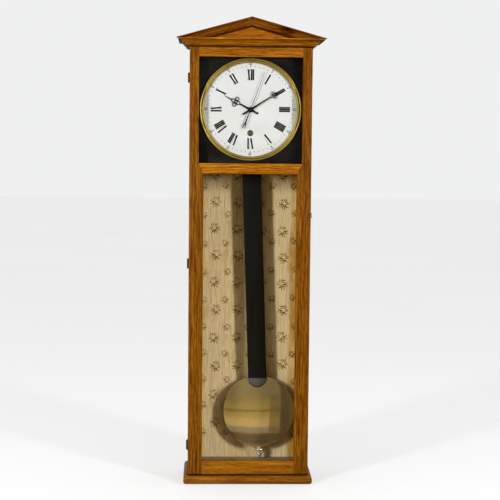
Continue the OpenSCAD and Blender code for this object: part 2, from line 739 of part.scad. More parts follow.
// Coiled spring drawn as a flat spiral that rests against the drum wall
spring_t = 0.6;
module mainspring() {
    turns = 9;
    steps = 24 * turns;
    r0 = barrel_arbor_r + 7;
    r1 = barrel_r - 2 - spring_t - 0.05;
    side = [for (i = [0 : steps]) [r0 + (r1 - r0) * i / steps, i * 15]];
    color("slategray") slab(drum_d + 1, drum_t - 4.5) from_dial(barrel_at) polygon(concat(
        [for (q = side) polar(q[0] + spring_t, q[1])],
        [for (i = [steps : -1 : 0]) polar(side[i][0], side[i][1])]));
}
module arbor_body(p, d0, d1) {
    bar(p, arbor_r, d0, d1);
}
module second_wheel() {
    color("gold") {
        slab(second_d, thin_t) from_dial(second_at)
            crossed_wheel(second_m, second_n, second_turn, 3, 8, 5, 3);
        slab(great_d - pinion_over, wheel_t + pinion_over - drum_clear) from_dial(second_at)
            gear(great_m, second_pin_n, no_turn);
        bar(second_at, 2.2, great_d + wheel_t - drum_clear, second_d);
        bar(second_at, 4, second_d + thin_t, second_d + thin_t + 2);
        arbor_body(second_at, second_d + thin_t, back_plate_d - 0.5);
        bar(second_at, 1, back_plate_d - 1, back_back_d - 0.3);
        bar(second_at, 1, front_plate_d + 0.3, great_d);
    }
}
module hour_arbor_wheel() {
    color("gold") {
        slab(hour_arbor_d, thin_t) from_dial(hour_arbor)
            crossed_wheel(arbor_m, hour_arbor_n, hour_arbor_turn, 2.6, 7, 6, 2.6);
        slab(second_d - 1, thin_t + 2.6) from_dial(hour_arbor) gear(second_m, hour_pin_n, no_turn);
        slab(motion_d, motion_t) from_dial(hour_arbor) gear(motion_m, motion_n, no_turn);
        bar(hour_arbor, 3, motion_d + motion_t, motion_d + motion_t + 1.5);
        arbor_body(hour_arbor, motion_d - 1, back_plate_d - 0.5);
        bar(hour_arbor, 1, back_plate_d - 1, back_back_d - 0.3);
        bar(hour_arbor, 3.4, hour_arbor_d + thin_t, hour_arbor_d + thin_t + 3);
    }
}
module third_wheel() {
    color("gold") {
        slab(third_d, thin_t) from_dial(third_at)
            crossed_wheel(third_m, third_n, third_turn, 2.4, 7, 6, 2.4);
        slab(hour_arbor_d - 1, thin_t + 2) from_dial(third_at) gear(arbor_m, third_pin_n, no_turn);
        arbor_body(third_at, front_back_d + 0.5, back_plate_d - 0.5);
        bar(third_at, 1, front_plate_d + 0.3, front_back_d + 1);
        bar(third_at, 1, back_plate_d - 1, back_back_d - 0.3);
        bar(third_at, 3.4, third_d + thin_t, third_d + thin_t + 3);
    }
}
// Escape wheel: slim forward leaning teeth for a dead beat
escape_root = escape_r - 6.5;
function escape_points() = [for (i = [0 : escape_n - 1]) let (a = i * 360 / escape_n)
    for (q = [[escape_root, -5.4], [escape_root + 2.6, -3.4], [escape_r, -0.6], [escape_r, 0],
              [escape_root + 0.6, -1.6], [escape_root, -2.6]])
        polar(q[0], a + q[1])];
module escape_wheel() {
    color("gold") {
        slab(escape_d, thin_t) from_dial([0, 0]) difference() {
            polygon(escape_points());
            spokes(escape_root - 2.6, 6.5, 6, 2.2, 15);
        }
        slab(third_d - 1, thin_t + 2) from_dial([0, 0]) gear(third_m, escape_pin_n, no_turn);
        bar([0, 0], 3.2, escape_d + thin_t, escape_d + thin_t + 3);
        bar([0, 0], seconds_arbor_r, seconds_d + 0.6, front_back_d + 2);
        arbor_body([0, 0], front_back_d + 1, back_plate_d - 0.5);
        bar([0, 0], 1, back_plate_d - 1, back_back_d - 0.3);
    }
}
module hand_disc(p, r) {
    translate(p) circle(r, $fn = 48);
}
module seconds_hand() {
    tail = -seconds_tail;
    color("midnightblue") difference() {
        union() {
            slab(seconds_d, hand_t) from_dial([0, 0]) rotate(seconds_angle) {
                polygon([[0, -1], [seconds_len, -0.5], [seconds_len, 0.5], [0, 1]]);
                circle(5, $fn = 48);
                polygon([[0, -1], [tail + 20, -2], [tail, -5.6], [tail, -3.4], [tail + 12, 0],
                    [tail, 3.4], [tail, 5.6], [tail + 20, 2], [0, 1]]);
            }
            bar([0, 0], 2.4, seconds_d - 1.2, seconds_d + 1.4);
        }
        bar([0, 0], seconds_arbor_r, seconds_d + 0.6, seconds_d + 3);
    }
}
module cannon_wheel() {
    color("gold") difference() {
        union() {
            slab(motion_d, motion_t) from_dial([0, 0]) gear(motion_m, motion_n, cannon_turn);
            bar([0, 0], cannon_out, minute_d + 0.2, motion_d);
        }
        bar([0, 0], pipe_out + run_fit, minute_d - 1, motion_d + motion_t + 1);
    }
}
// Pierced cluster of one hand: near and far eyes on the line, one on each side and one between
module scroll_solid(near, far, side, r) {
    hand_disc([near, 0], r);
    hand_disc([far, 0], r);
    for (s = [-1, 1]) hand_disc([(near + far) / 2, s * side], r);
    hand_disc([(near + far) / 2, 0], r);
}
module scroll_eyes(near, far, side, r) {
    hand_disc([near, 0], r);
    hand_disc([far, 0], r);
    for (s = [-1, 1]) hand_disc([(near + far) / 2, s * side], r);
    hand_disc([(near + far) / 2, 0], 0.7 * r);
}
module minute_hand() {
    color("midnightblue") slab(minute_d, hand_t) from_dial([0, 0]) rotate(minute_angle) difference() {
        union() {
            circle(7, $fn = 48);
            polygon([[-24, -2.4], [0, -3.2], [74, -1.3], [74, 1.3], [0, 3.2], [-24, 2.4]]);
            hand_disc([-24, 0], 3.4);
            scroll_solid(77, 91, 6.8, 4.8);
            polygon([[94, -1.6], [minute_len, -0.5], [minute_len, 0.5], [94, 1.6]]);
        }
        circle(cannon_out, $fn = 48);
        scroll_eyes(77, 91, 7, 2.9);
    }
}
module idler_wheel() {
    color("gold") difference() {
        union() {
            slab(motion_d, motion_t) from_dial(idler_at)
                crossed_wheel(motion_m, idler_n, idler_turn, 2.2, 6, 5, 2.2);
            slab(hour_wheel_d - 1, motion_d - hour_wheel_d + 1) from_dial(idler_at)
                gear(hour_m, idler_pin_n, no_turn);
        }
        bar(idler_at, 1.5 + run_fit, hour_wheel_d - 3, motion_d + motion_t + 1);
    }
}
module hour_wheel() {
    color("gold") difference() {
        union() {
            slab(hour_wheel_d, motion_t) from_dial([0, 0])
                crossed_wheel(hour_m, hour_wheel_n, hour_wheel_turn, 2.6, 9, 5, 2.6);
            bar([0, 0], hour_pipe_out, hour_d + 0.2, hour_wheel_d);
        }
        bar([0, 0], cannon_out + run_fit, hour_d - 1, hour_wheel_d + motion_t + 1);
    }
}
module hour_hand() {
    color("midnightblue") slab(hour_d, hand_t) from_dial([0, 0]) rotate(hour_angle) difference() {
        union() {
            circle(8.2, $fn = 48);
            polygon([[-23, -2.6], [0, -3.8], [40, -2], [40, 2], [0, 3.8], [-23, 2.6]]);
            hand_disc([-23, 0], 3.4);
            scroll_solid(42.5, 60, 10, 6.3);
            polygon([[64, -2.2], [hour_len, -0.9], [hour_len, 0.9], [64, 2.2]]);
        }
        circle(hour_pipe_out, $fn = 48);
        scroll_eyes(42.5, 60, 10.2, 3.9);
    }
}
// Dead beat anchor on its arbor, with the crutch behind the back plate
nib_r = escape_r;
nib_t = 3;
nib_start = pallet_clear * 180 / (PI * escape_r);
module ring_part(r_in, r_out, a0, a1) {
    polygon(concat([for (i = [0 : 8]) polar(r_out, a0 + i * (a1 - a0) / 8)],
        [for (i = [0 : 8]) polar(r_in, a1 + i * (a0 - a1) / 8)]));
}
module anchor_2d() {
    circle(5.5, $fn = 48);
    for (s = [-1, 1]) mirror([s > 0 ? 0 : 1, 0]) {
        rotate(-45) ring_part(nib_r - nib_t / 2, nib_r + nib_t / 2, nib_start, 24);
        polygon([[-1, 5], [5, 3.4], [nib_r * cos(16) + 1.6, -nib_r * sin(16) + 1],
            [nib_r * cos(24) + 1.2, -nib_r * sin(24) - 1.6], [nib_r * cos(24) - 4, -nib_r * sin(24) + 1],
            [5, -4.6], [-1, -5]]);
    }
}
crutch_len = 120;
fork_half = rod_w / 2 + 0.8;
module pallets() {
    color("silver") hang_slab(escape_d - 1, thin_t + 2) anchor_2d();
    color("silver") bar(pallet_at, arbor_r, front_back_d + 0.5, crutch_d + crutch_t);
    color("silver") bar(pallet_at, 1, front_plate_d + 0.3, front_back_d + 1);
    color("goldenrod") hang_slab(crutch_d, crutch_t) {
        circle(6, $fn = 48);
        translate([-2.5, -crutch_len]) square([5, crutch_len]);
        translate([-fork_half - 3, -crutch_len - 8]) square([2 * fork_half + 6, 8]);
    }
    color("goldenrod") for (s = [-1, 1]) hang_slab(crutch_d + crutch_t - eps, 14)
        translate([s * (fork_half + 1.5) - 1.5, -crutch_len - 8]) square([3, 8]);
}
// Pendulum: spring, cap, flat rod and rating screw in one swinging body
rod_top = 26;
rod_bevel = 1.4;
cap_h = 12;
module pendulum_rod() {
    color("#202228") difference() {
        hang_slab(pend_d - rod_t / 2, rod_t) {
            translate([-rod_w / 2, rod_w / 2 - rod_end]) square([rod_w, rod_end - rod_w / 2 - rod_top]);
            translate([0, rod_w / 2 - rod_end]) circle(rod_w / 2);
        }
        hang() translate([-rod_w / 2 - 1, pend_d - rod_t / 2 - mid_d, -rod_end]) rotate([90, 0, 90])
            linear_extrude(rod_w + 2) polygon([[-1, -1], [rod_bevel, -1], [0, rod_w / 2 - 1], [-1, rod_w / 2 - 1]]);
    }
    color("goldenrod") hang() {
        translate([-9, pend_d - mid_d - 9, -rod_top - eps]) cube([18, 18, cap_h]);
        translate([0, pend_d - mid_d, -nut_top - screw_below])
            cylinder(r = screw_r, h = nut_top + screw_below - rod_end + 8, $fn = 32);
    }
    color("steelblue") hang() translate([-0.2, pend_d - mid_d - 6, cap_h - rod_top - 1])
        cube([0.4, 12, rod_top - cap_h + spring_up - 1]);
}
// Outline of one lens face from middle to rim, or back for the other face
function lens_side(s) = [for (i = [1 : 16]) let (r = bob_r * (s < 0 ? i : 17 - i) / 16)
    [r, s * (bob_t / 2 - bob_curve + sqrt(bob_curve * bob_curve - r * r))]];
module bob() {
    color("gold") hang() translate([0, pend_d - mid_d, 0]) difference() {
        translate([0, 0, -pendulum_length]) rotate([90, 0, 0]) rotate_extrude($fn = 180) polygon(concat(
            [[0, -bob_t / 2]], lens_side(-1), lens_side(1), [[0, bob_t / 2]]));
        rotate([90, 0, 0]) translate([0, 0, -rod_t / 2 - tiny_gap]) linear_extrude(bob_t) {
            translate([-rod_w / 2 - tiny_gap, rod_w / 2 - rod_end - 4])
                square([rod_w + 2 * tiny_gap, rod_end]);
            translate([0, rod_w / 2 - rod_end - 4]) circle(rod_w / 2 + tiny_gap);
        }
        translate([0, 0, -pendulum_length - bob_r - 1]) cylinder(r = screw_r + 0.4, h = 2 * bob_r, $fn = 48);
    }
}
module rating_nut() {
    color("gold") hang() translate([0, pend_d - mid_d, -nut_top]) difference() {
        rotate_extrude() polygon([[0, 0], [6, 0], [6, -3], [nut_r - 1, -4], [nut_r, -6], [nut_r, -10],
            [nut_r - 1, -12], [7, -13], [5, -16], [8.5, -20], [9.2, -24], [7, -28],
            [5.5, -30], [3, -nut_h], [0, -nut_h]]);
        translate([0, 0, -screw_below - 2.5]) cylinder(r = screw_r + run_fit, h = screw_below + 3, $fn = 48);
    }
}

// Door and its hardware
module rebates() {
    half_up = sight_up + glass_lap;
    half_low = sight_low + glass_lap;
    block(-half_up, glass_d, up_bottom - glass_lap, 2 * half_up, door_t, up_open + 2 * glass_lap);
    block(-half_low, glass_d, low_bottom - glass_lap, 2 * half_low, door_t,
        low_top - low_bottom + 2 * glass_lap);
}
module door_frame() {
    color("peru") difference() {
        union() {
            for (s = [-1, 1]) block(s < 0 ? -door_half : sight_up, 0, door_bottom, stile_w, door_t,
                door_top - door_bottom);
            block(-sight_up, 0, up_top, 2 * sight_up, door_t, top_rail_h);
        }
        rebates();
    }
}
module mid_rail() {
    color("peru") difference() {
        slab(0, door_t) polygon([[-sight_low, low_top], [sight_low, low_top], [sight_up, up_bottom],
            [-sight_up, up_bottom]]);
        rebates();
    }
}
module inner_strips() {
    color("peru") difference() {
        slab(0, door_t) for (s = [-1, 1]) mirror([s > 0 ? 0 : 1, 0])
            polygon([[sight_low, door_bottom], [sight_up, door_bottom], [sight_up, up_bottom],
                [sight_low, low_top]]);
        rebates();
    }
}
module bottom_rail() {
    color("peru") difference() {
        block(-sight_low, 0, door_bottom, 2 * sight_low, door_t, bottom_rail_h);
        rebates();
    }
}
pane_fit = 0.4;
module pane(half, low, high) {
    color("lightcyan", 0.4) block(pane_fit - half - glass_lap, glass_d, low - glass_lap + pane_fit,
        2 * (half + glass_lap - pane_fit), glass_t, high - low + 2 * (glass_lap - pane_fit));
}
module upper_glass() {
    pane(sight_up, up_bottom, up_top);
}
module lower_glass() {
    pane(sight_low, low_bottom, low_top);
}
module glass_beads() {
    edge = glass_lap - pane_fit;
    color("saddlebrown") slab(glass_d + glass_t, bead_back - glass_d - glass_t) {
        frame_2d(sight_up + edge, up_bottom - edge, up_top + edge, edge);
        frame_2d(sight_low + edge, low_bottom - edge, low_top + edge, edge);
    }
}
function hinge_z(k) = door_bottom + k * (door_top - door_bottom);
module knuckle(z, h, r) {
    translate([hinge_x, hinge_d - mid_d, z]) cylinder(r = r, h = h, $fn = 48);
}
module hinge_frame_leaves() {
    third = hinge_h / 3;
    color("#2a2018") for (k = [hinge_low, hinge_mid, hinge_high]) {
        block(-door_half - hinge_leaf_t, hinge_d + leaf_start, hinge_z(k) - hinge_h / 2, hinge_leaf_t,
            leaf_len, hinge_h);
        for (s = [-1, 1]) {
            knuckle(hinge_z(k) + s * third - third / 2 + (s > 0 ? 0.2 : 0), third - 0.2, knuckle_r);
            block(hinge_x, hinge_d + 0.4, hinge_z(k) + s * third - third / 2 + (s > 0 ? 0.2 : 0),
                knuckle_r, leaf_start, third - 0.2);
        }
        knuckle(hinge_z(k) - hinge_h / 2, hinge_h, hinge_pin_r);
    }
}
module door_hardware() {
    third = hinge_h / 3;
    color("#2a2018") difference() {
        for (k = [hinge_low, hinge_mid, hinge_high]) {
            block(-door_half - hinge_leaf_t, hinge_d - leaf_start - leaf_len, hinge_z(k) - hinge_h / 2,
                hinge_leaf_t, leaf_len, hinge_h);
            block(hinge_x, hinge_d - 3.2, hinge_z(k) - third / 2 + 0.2, knuckle_r, 3, third - 0.4);
            knuckle(hinge_z(k) - third / 2 + 0.2, third - 0.4, knuckle_r);
        }
        for (k = [hinge_low, hinge_mid, hinge_high])
            knuckle(hinge_z(k) - hinge_h / 2, hinge_h, hinge_pin_r + run_fit);
    }
    color("goldenrod") side_screw(hook_pivot_d - hook_reach, hook_z, hook_pin_r);
}
// Small headed pin or screw in the right edge
module side_screw(d, z, r) {
    translate([door_half, d - mid_d, z]) rotate([0, 90, 0]) {
        cylinder(r = r, h = hook_t + 1.5, $fn = 32);
        translate([0, 0, hook_t + 0.8]) cylinder(r = r + 1.2, h = 1.1, $fn = 32);
    }
}
module hook_screw() {
    color("goldenrod") side_screw(hook_pivot_d, hook_z + hook_rise, hook_pin_r);
}
// Hook drawn to the left of its screw in the side view, hooked position level
module hook_2d() {
    difference() {
        union() {
            circle(4, $fn = 48);
            translate([-hook_reach - 4, -hook_half]) square([hook_reach + 4, 2 * hook_half]);
            translate([-hook_reach - 4, -6]) square([4 - hook_pin_r - tiny_gap, 6]);
        }
        circle(hook_pin_r + run_fit, $fn = 48);
    }
}
module latch_hook() {
    color("#30261c") translate([hook_x, hook_pivot_d - mid_d, hook_z + hook_rise]) rotate([90, 0, 90])
        rotate(-hook_lift) linear_extrude(hook_t) hook_2d();
}

plinth_board();
plinth_front();
plinth_sides();
side_left();
side_right();
backboard();
hanger_plate();
floor_board();
top_board();
face_posts();
face_rails();
mask_stops();
back_lining();
lining_margins();
cornice_front();
cornice_sides();
pediment_panel();
raking_left();
raking_right();
roof_boards();
gable_back();
dial_mask();
bezel();
dial();
winding_bush();
front_plate();
back_plate();
pillars();
seat_brackets();
suspension_bracket();
click_spring();
hinge_frame_leaves();
door_frame();
mid_rail();
inner_strips();
bottom_rail();
upper_glass();
lower_glass();
glass_beads();
door_hardware();
hook_screw();
latch_hook();
barrel();
mainspring();
winding_arbor();
click();
second_wheel();
hour_arbor_wheel();
third_wheel();
escape_wheel();
seconds_hand();
cannon_wheel();
minute_hand();
idler_wheel();
hour_wheel();
hour_hand();
pallets();
pendulum_rod();
bob();
rating_nut();
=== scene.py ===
# Wall regulator clock: the finish of every piece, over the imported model. Metres, seen from the front.
import bpy
import math
from mathutils import Euler, Matrix, Vector


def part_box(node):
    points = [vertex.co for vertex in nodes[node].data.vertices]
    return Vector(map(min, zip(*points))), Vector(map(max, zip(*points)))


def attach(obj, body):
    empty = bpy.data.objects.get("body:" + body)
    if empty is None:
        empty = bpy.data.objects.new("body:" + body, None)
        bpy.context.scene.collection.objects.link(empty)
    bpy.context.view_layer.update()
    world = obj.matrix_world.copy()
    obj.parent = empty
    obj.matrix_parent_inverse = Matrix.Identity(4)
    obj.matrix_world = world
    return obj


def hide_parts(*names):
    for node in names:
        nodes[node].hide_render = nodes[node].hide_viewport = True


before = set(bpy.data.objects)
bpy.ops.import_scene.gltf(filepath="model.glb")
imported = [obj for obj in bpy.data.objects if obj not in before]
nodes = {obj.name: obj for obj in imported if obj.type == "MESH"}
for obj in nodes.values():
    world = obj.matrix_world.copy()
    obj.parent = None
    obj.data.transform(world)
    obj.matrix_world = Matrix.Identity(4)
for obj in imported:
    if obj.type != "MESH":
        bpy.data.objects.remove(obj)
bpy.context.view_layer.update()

# Case boards: sides, back, plinth, top, roof and gable, solid walnut planed flat and glued up.
# The arrises are eased with a plane and the whole is French polished, so the grain shows through
# a thin shine. Each board is a welded copy of the plain one with its sharp edges taken off.
grain_up = Euler((0, 0, 0))
grain_across = Euler((0, math.radians(90), 0))
grain_back = Euler((math.radians(90), 0, 0))
walnut_dark = (0.068, 0.020, 0.0004)
walnut_warm = (0.164, 0.056, 0.0013)
walnut_gold = (0.280, 0.109, 0.0030)
arris = 0.0008
weld_gap = 0.000005
flat_within = math.radians(0.4)
smooth_under = math.radians(40)


def add(tree, kind, values=None, **settings):
    """A shader node with its settings and its sockets' own values."""
    made = tree.nodes.new(kind)
    for key, value in settings.items():
        setattr(made, key, value)
    for socket, value in (values or {}).items():
        made.inputs[socket].default_value = value
    return made


def wire(tree, source, outlet, target, inlet):
    """One node's output led to another's input."""
    tree.links.new(source.outputs[outlet], target.inputs[inlet])


def ramp(tree, source, outlet, stops):
    """A colour ramp through (place, colour) stops, fed from one node's output."""
    made = tree.nodes.new("ShaderNodeValToRGB")
    wire(tree, source, outlet, made, "Fac")
    band = made.color_ramp
    while len(band.elements) < len(stops):
        band.elements.new(0.5)
    for element, (place, colour) in zip(band.elements, stops):
        element.position = place
        element.color = colour
    return made


def mixed(tree, share, first, second, mode="MIX"):
    """Two colours mixed; share, first and second are (node, output) or plain values."""
    made = add(tree, "ShaderNodeMix", data_type="RGBA", blend_type=mode)
    for inlet, source in ((0, share), (6, first), (7, second)):
        if isinstance(source, tuple) and hasattr(source[0], "outputs"):
            tree.links.new(source[0].outputs[source[1]], made.inputs[inlet])
        else:
            made.inputs[inlet].default_value = source
    return made


def embossed(tree, shader, source, outlet, strength, depth):
    """A fine relief in the surface, from one node's output."""
    relief = add(tree, "ShaderNodeBump", {"Strength": strength, "Distance": depth})
    wire(tree, source, outlet, relief, "Height")
    wire(tree, relief, "Normal", shader, "Normal")


def new_material(name):
    """A node material with its tree and its shader."""
    made = bpy.data.materials.new(name)
    made.use_nodes = True
    return made, made.node_tree, made.node_tree.nodes["Principled BSDF"]


def laid(tree, turn, stretch, shift=(0, 0, 0)):
    """Object coordinates turned so that Z runs along the board, and stretched that way."""
    place = add(tree, "ShaderNodeTexCoord")
    lay = add(tree, "ShaderNodeMapping", vector_type="TEXTURE")
    lay.inputs["Location"].default_value = shift
    lay.inputs["Rotation"].default_value = turn
    lay.inputs["Scale"].default_value = (1, 1, stretch)
    wire(tree, place, "Object", lay, "Vector")
    return lay


def walnut(name, turn, shift, tone=1.0, figure=0.14, red=1.0):
    """Polished walnut: slanting rings, streaks, fine fibres, open pores and a drifting tone."""
    made, tree, shader = new_material(name)
    rings_lay = laid(tree, turn, 6, shift)
    fibre_lay = laid(tree, turn, 34, shift)
    rings = add(tree, "ShaderNodeTexWave", {"Scale": 38, "Distortion": 11, "Detail": 3,
                                            "Detail Scale": 1.3, "Detail Roughness": 0.6},
                wave_type="RINGS", rings_direction="Z")
    streaks = add(tree, "ShaderNodeTexNoise", {"Scale": 270, "Detail": 4, "Roughness": 0.65})
    fibres = add(tree, "ShaderNodeTexNoise", {"Scale": 620, "Detail": 5, "Roughness": 0.62})
    drift = add(tree, "ShaderNodeTexNoise", {"Scale": 34, "Detail": 3, "Roughness": 0.6,
                                             "Distortion": 1.2})
    wire(tree, rings_lay, "Vector", rings, "Vector")
    wire(tree, fibre_lay, "Vector", streaks, "Vector")
    wire(tree, fibre_lay, "Vector", fibres, "Vector")
    wire(tree, laid(tree, turn, 7, shift), "Vector", drift, "Vector")
    lines = mixed(tree, 0.5, (streaks, "Fac"), (fibres, "Fac"))
    blend = mixed(tree, figure, (lines, 2), (rings, "Color"))
    stops = ((0.33, walnut_dark), (0.50, walnut_warm), (0.69, walnut_gold))
    colours = ramp(tree, blend, 2, [
        (place, (colour[0] * tone, colour[1] * tone / red, colour[2] * tone / red, 1))
        for place, colour in stops])
    shade = ramp(tree, drift, "Fac", [(0.34, (0.82, 0.73, 0.60, 1)), (0.50, (1, 1, 1, 1)),
                                      (0.66, (1.14, 1.18, 1.22, 1))])
    toned = mixed(tree, 1.0, (colours, "Color"), (shade, "Color"), "MULTIPLY")
    flecks = add(tree, "ShaderNodeTexNoise", {"Scale": 430, "Detail": 3, "Roughness": 0.6})
    wire(tree, laid(tree, turn, 9, shift), "Vector", flecks, "Vector")
    pores = ramp(tree, flecks, "Fac", [(0.44, (1.09, 1.11, 1.13, 1)), (0.53, (0.97, 0.95, 0.93, 1)),
                                       (0.66, (0.62, 0.52, 0.43, 1))])
    pored = mixed(tree, 0.9, (toned, 2), (pores, "Color"), "MULTIPLY")
    wire(tree, pored, 2, shader, "Base Color")
    gloss = ramp(tree, fibres, "Fac", [(0.35, (0.36, 0.36, 0.36, 1)), (0.75, (0.55, 0.55, 0.55, 1))])
    wire(tree, gloss, "Color", shader, "Roughness")
    embossed(tree, shader, fibres, "Fac", 0.2, 0.0002)
    shader.inputs["Specular IOR Level"].default_value = 0.08
    return made


def linked(name, data):
    """A new object, put in the scene."""
    made = bpy.data.objects.new(name, data)
    bpy.context.collection.objects.link(made)
    return made


def picked(piece):
    """Makes this the one object that is selected and active."""
    bpy.ops.object.select_all(action="DESELECT")
    bpy.context.view_layer.objects.active = piece
    piece.select_set(True)


def welded(node, name, keep=None):
    """A copy of a CAD piece, its loose triangles joined; what lies past a keep plane is cut off."""
    piece = linked(name, nodes[node].data.copy())
    piece.data.materials.clear()
    picked(piece)
    bpy.ops.object.mode_set(mode="EDIT")
    bpy.ops.mesh.select_all(action="SELECT")
    bpy.ops.mesh.remove_doubles(threshold=weld_gap)
    for point, normal in keep or []:
        bpy.ops.mesh.select_all(action="SELECT")
        bpy.ops.mesh.bisect(plane_co=point, plane_no=normal, use_fill=True, clear_outer=True)
    bpy.ops.mesh.select_all(action="SELECT")
    bpy.ops.mesh.dissolve_limited(angle_limit=flat_within)
    bpy.ops.object.mode_set(mode="OBJECT")
    return piece


def eased(piece, radius, sharp=30):
    """Its sharp edges rounded over in the second material, the way a plane or a buff leaves them."""
    picked(piece)
    edge = piece.modifiers.new("eased", "BEVEL")
    edge.width = radius
    edge.segments = 2
    edge.limit_method = "ANGLE"
    edge.angle_limit = math.radians(sharp)
    edge.material = 1
    bpy.ops.object.modifier_apply(modifier="eased")
    bpy.ops.object.shade_smooth_by_angle(angle=smooth_under)
    return piece


def fit(piece, body, node, slot, *materials):
    """The piece takes its materials, rides on its body and stands for its CAD node."""
    for material in materials:
        piece.data.materials.append(material)
    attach(piece, body)
    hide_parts(node)


def finished(node, name, edge, body, slot, face, edge_wear_and_highlight=None, sharp=30):
    """The usual work: a CAD piece copied, its edges eased and worn, with any painted highlight given for
    them, and fitted in its place.
    """
    fit(eased(welded(node, name), edge, sharp), body, node, slot, face, face if edge_wear_and_highlight is None else edge_wear_and_highlight)


def dress(material, *names):
    """A CAD piece that is shown as it is gets its real finish."""
    for name in names:
        for place in nodes[name].material_slots:
            place.material = material


walnut_up = walnut("walnut_length_up", grain_up, (0.04, 0.09, 0))
walnut_across = walnut("walnut_length_across", grain_across, (0, 0.12, 0.03))
walnut_back = walnut("walnut_length_back", grain_back, (0.05, 0, 0.08))
# Eased edges in a lighter walnut: worn polish and a painted highlight along each arris.
walnut_edge_wear_and_highlight = walnut("walnut_edge_wear_and_painted_highlight", grain_up, (0.02, 0.05, 0), tone=1.35)

for board, along in (("side_left", walnut_up), ("side_right", walnut_up), ("backboard", walnut_up),
                     ("plinth_board", walnut_across), ("top_board", walnut_across),
                     ("roof_boards", walnut_back), ("gable_back", walnut_across)):
    finished(board, board + "_planed", arris, "case", "walnut", along, walnut_edge_wear_and_highlight)

# Face frame behind the door: two posts and three rails, tenoned together, so the grain turns at
# each joint. Two slim stops glued behind it carry the mask of the dial.
for part, along in (("face_posts", walnut_up), ("face_rails", walnut_across), ("mask_stops", walnut_up)):
    finished(part, part + "_planed", arris, "case", "walnut", along, walnut_edge_wear_and_highlight)

# Base moulding: a bullnosed walnut length across the front and a return down each side, mitred
# and glued round the plinth board. Its round nose has lost some of its polish, and shade is
# painted into the corner under the door.
door_face = -0.0735
base_shade_depth = 0.0065
moulding_arris = 0.0004


def painted_shade(material, axis, dark_at, lit_at, turn=0):
    """Painted shade in a corner or a joint, darkest at dark_at and gone at the other end along axis."""
    tree = material.node_tree
    shader = tree.nodes["Principled BSDF"]
    grain = shader.inputs["Base Color"].links[0].from_node
    slanting = add(tree, "ShaderNodeMapping", {"Rotation": (0, turn, 0)}, vector_type="TEXTURE")
    split = add(tree, "ShaderNodeSeparateXYZ")
    away = add(tree, "ShaderNodeMapRange", {"From Min": dark_at, "From Max": lit_at})
    wire(tree, add(tree, "ShaderNodeTexCoord"), "Object", slanting, "Vector")
    wire(tree, slanting, "Vector", split, "Vector")
    wire(tree, split, axis, away, "Value")
    shadow_tint = ramp(tree, away, "Result", [(0.4, (0.16, 0.13, 0.11, 1)), (1.0, (1, 1, 1, 1))])
    shadowed = mixed(tree, 1.0, (grain, 2), (shadow_tint, "Color"), "MULTIPLY")
    wire(tree, shadowed, 2, shader, "Base Color")


walnut_base = walnut("walnut_base_moulding", grain_across, (0.02, 0.03, 0.05), tone=1.28, figure=0.08)
# Painted shade along the back of the moulding's top, where it meets the foot of the door.
painted_shade(walnut_base, "Y", door_face, door_face - base_shade_depth)
finished("plinth_front", "base_moulding_front", moulding_arris, "case", "walnut", walnut_base,
    walnut_edge_wear_and_highlight)
finished("plinth_sides", "base_moulding_sides", moulding_arris, "case", "walnut", walnut_back,
    walnut_edge_wear_and_highlight)

# Cornice and pediment: hollow and round run in walnut, mitred at the corners, with two raking
# lengths meeting at the peak over a plain panel. The grain follows each length, and there is a
# knot low in the right one.
slope = math.radians(15.5)
raking_width = 0.027
cornice_shade_height = 0.003
raking_shade_height = 0.005
panel_shade_height = 0.003
knot_centre = (0.107, -0.10, 1.388)
knot_spread = (0.040, 0.3, 0.016)
panel_arris = 0.0003
walnut_deep = walnut("walnut_cornice", grain_across, (0.02, 0.07, 0.01), tone=1.68)
walnut_panel = walnut("walnut_tympanum", grain_across, (0, 0.04, 0.06), tone=1.50, figure=0.10,
                      red=1.12)


def knotted(material, centre, spread, turn):
    """A dark curl in the grain round centre, as wide as spread says, lying along the moulding."""
    tree = material.node_tree
    shader = tree.nodes["Principled BSDF"]
    grain = shader.inputs["Base Color"].links[0].from_node
    place = add(tree, "ShaderNodeMapping", {"Location": centre, "Rotation": (0, turn, 0),
                                            "Scale": spread}, vector_type="TEXTURE")
    ripple = add(tree, "ShaderNodeTexNoise", {"Scale": 160, "Detail": 3})
    round_it = add(tree, "ShaderNodeTexGradient", gradient_type="QUADRATIC_SPHERE")
    wire(tree, add(tree, "ShaderNodeTexCoord"), "Object", place, "Vector")
    wire(tree, place, "Vector", round_it, "Vector")
    wire(tree, laid(tree, grain_across, 4), "Vector", ripple, "Vector")
    edge = ramp(tree, round_it, "Fac", [(0.02, (0, 0, 0, 1)), (0.30, (1, 1, 1, 1))])
    curl = ramp(tree, ripple, "Fac", [(0.38, (0.10, 0.055, 0.05, 1)), (0.64, (0.80, 0.52, 0.42, 1))])
    dark = mixed(tree, 1.0, (grain, 2), (curl, "Color"), "MULTIPLY")
    whole = mixed(tree, (edge, "Color"), (grain, 2), (dark, 2))
    wire(tree, whole, 2, shader, "Base Color")


cornice_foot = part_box("cornice_front")[0].z
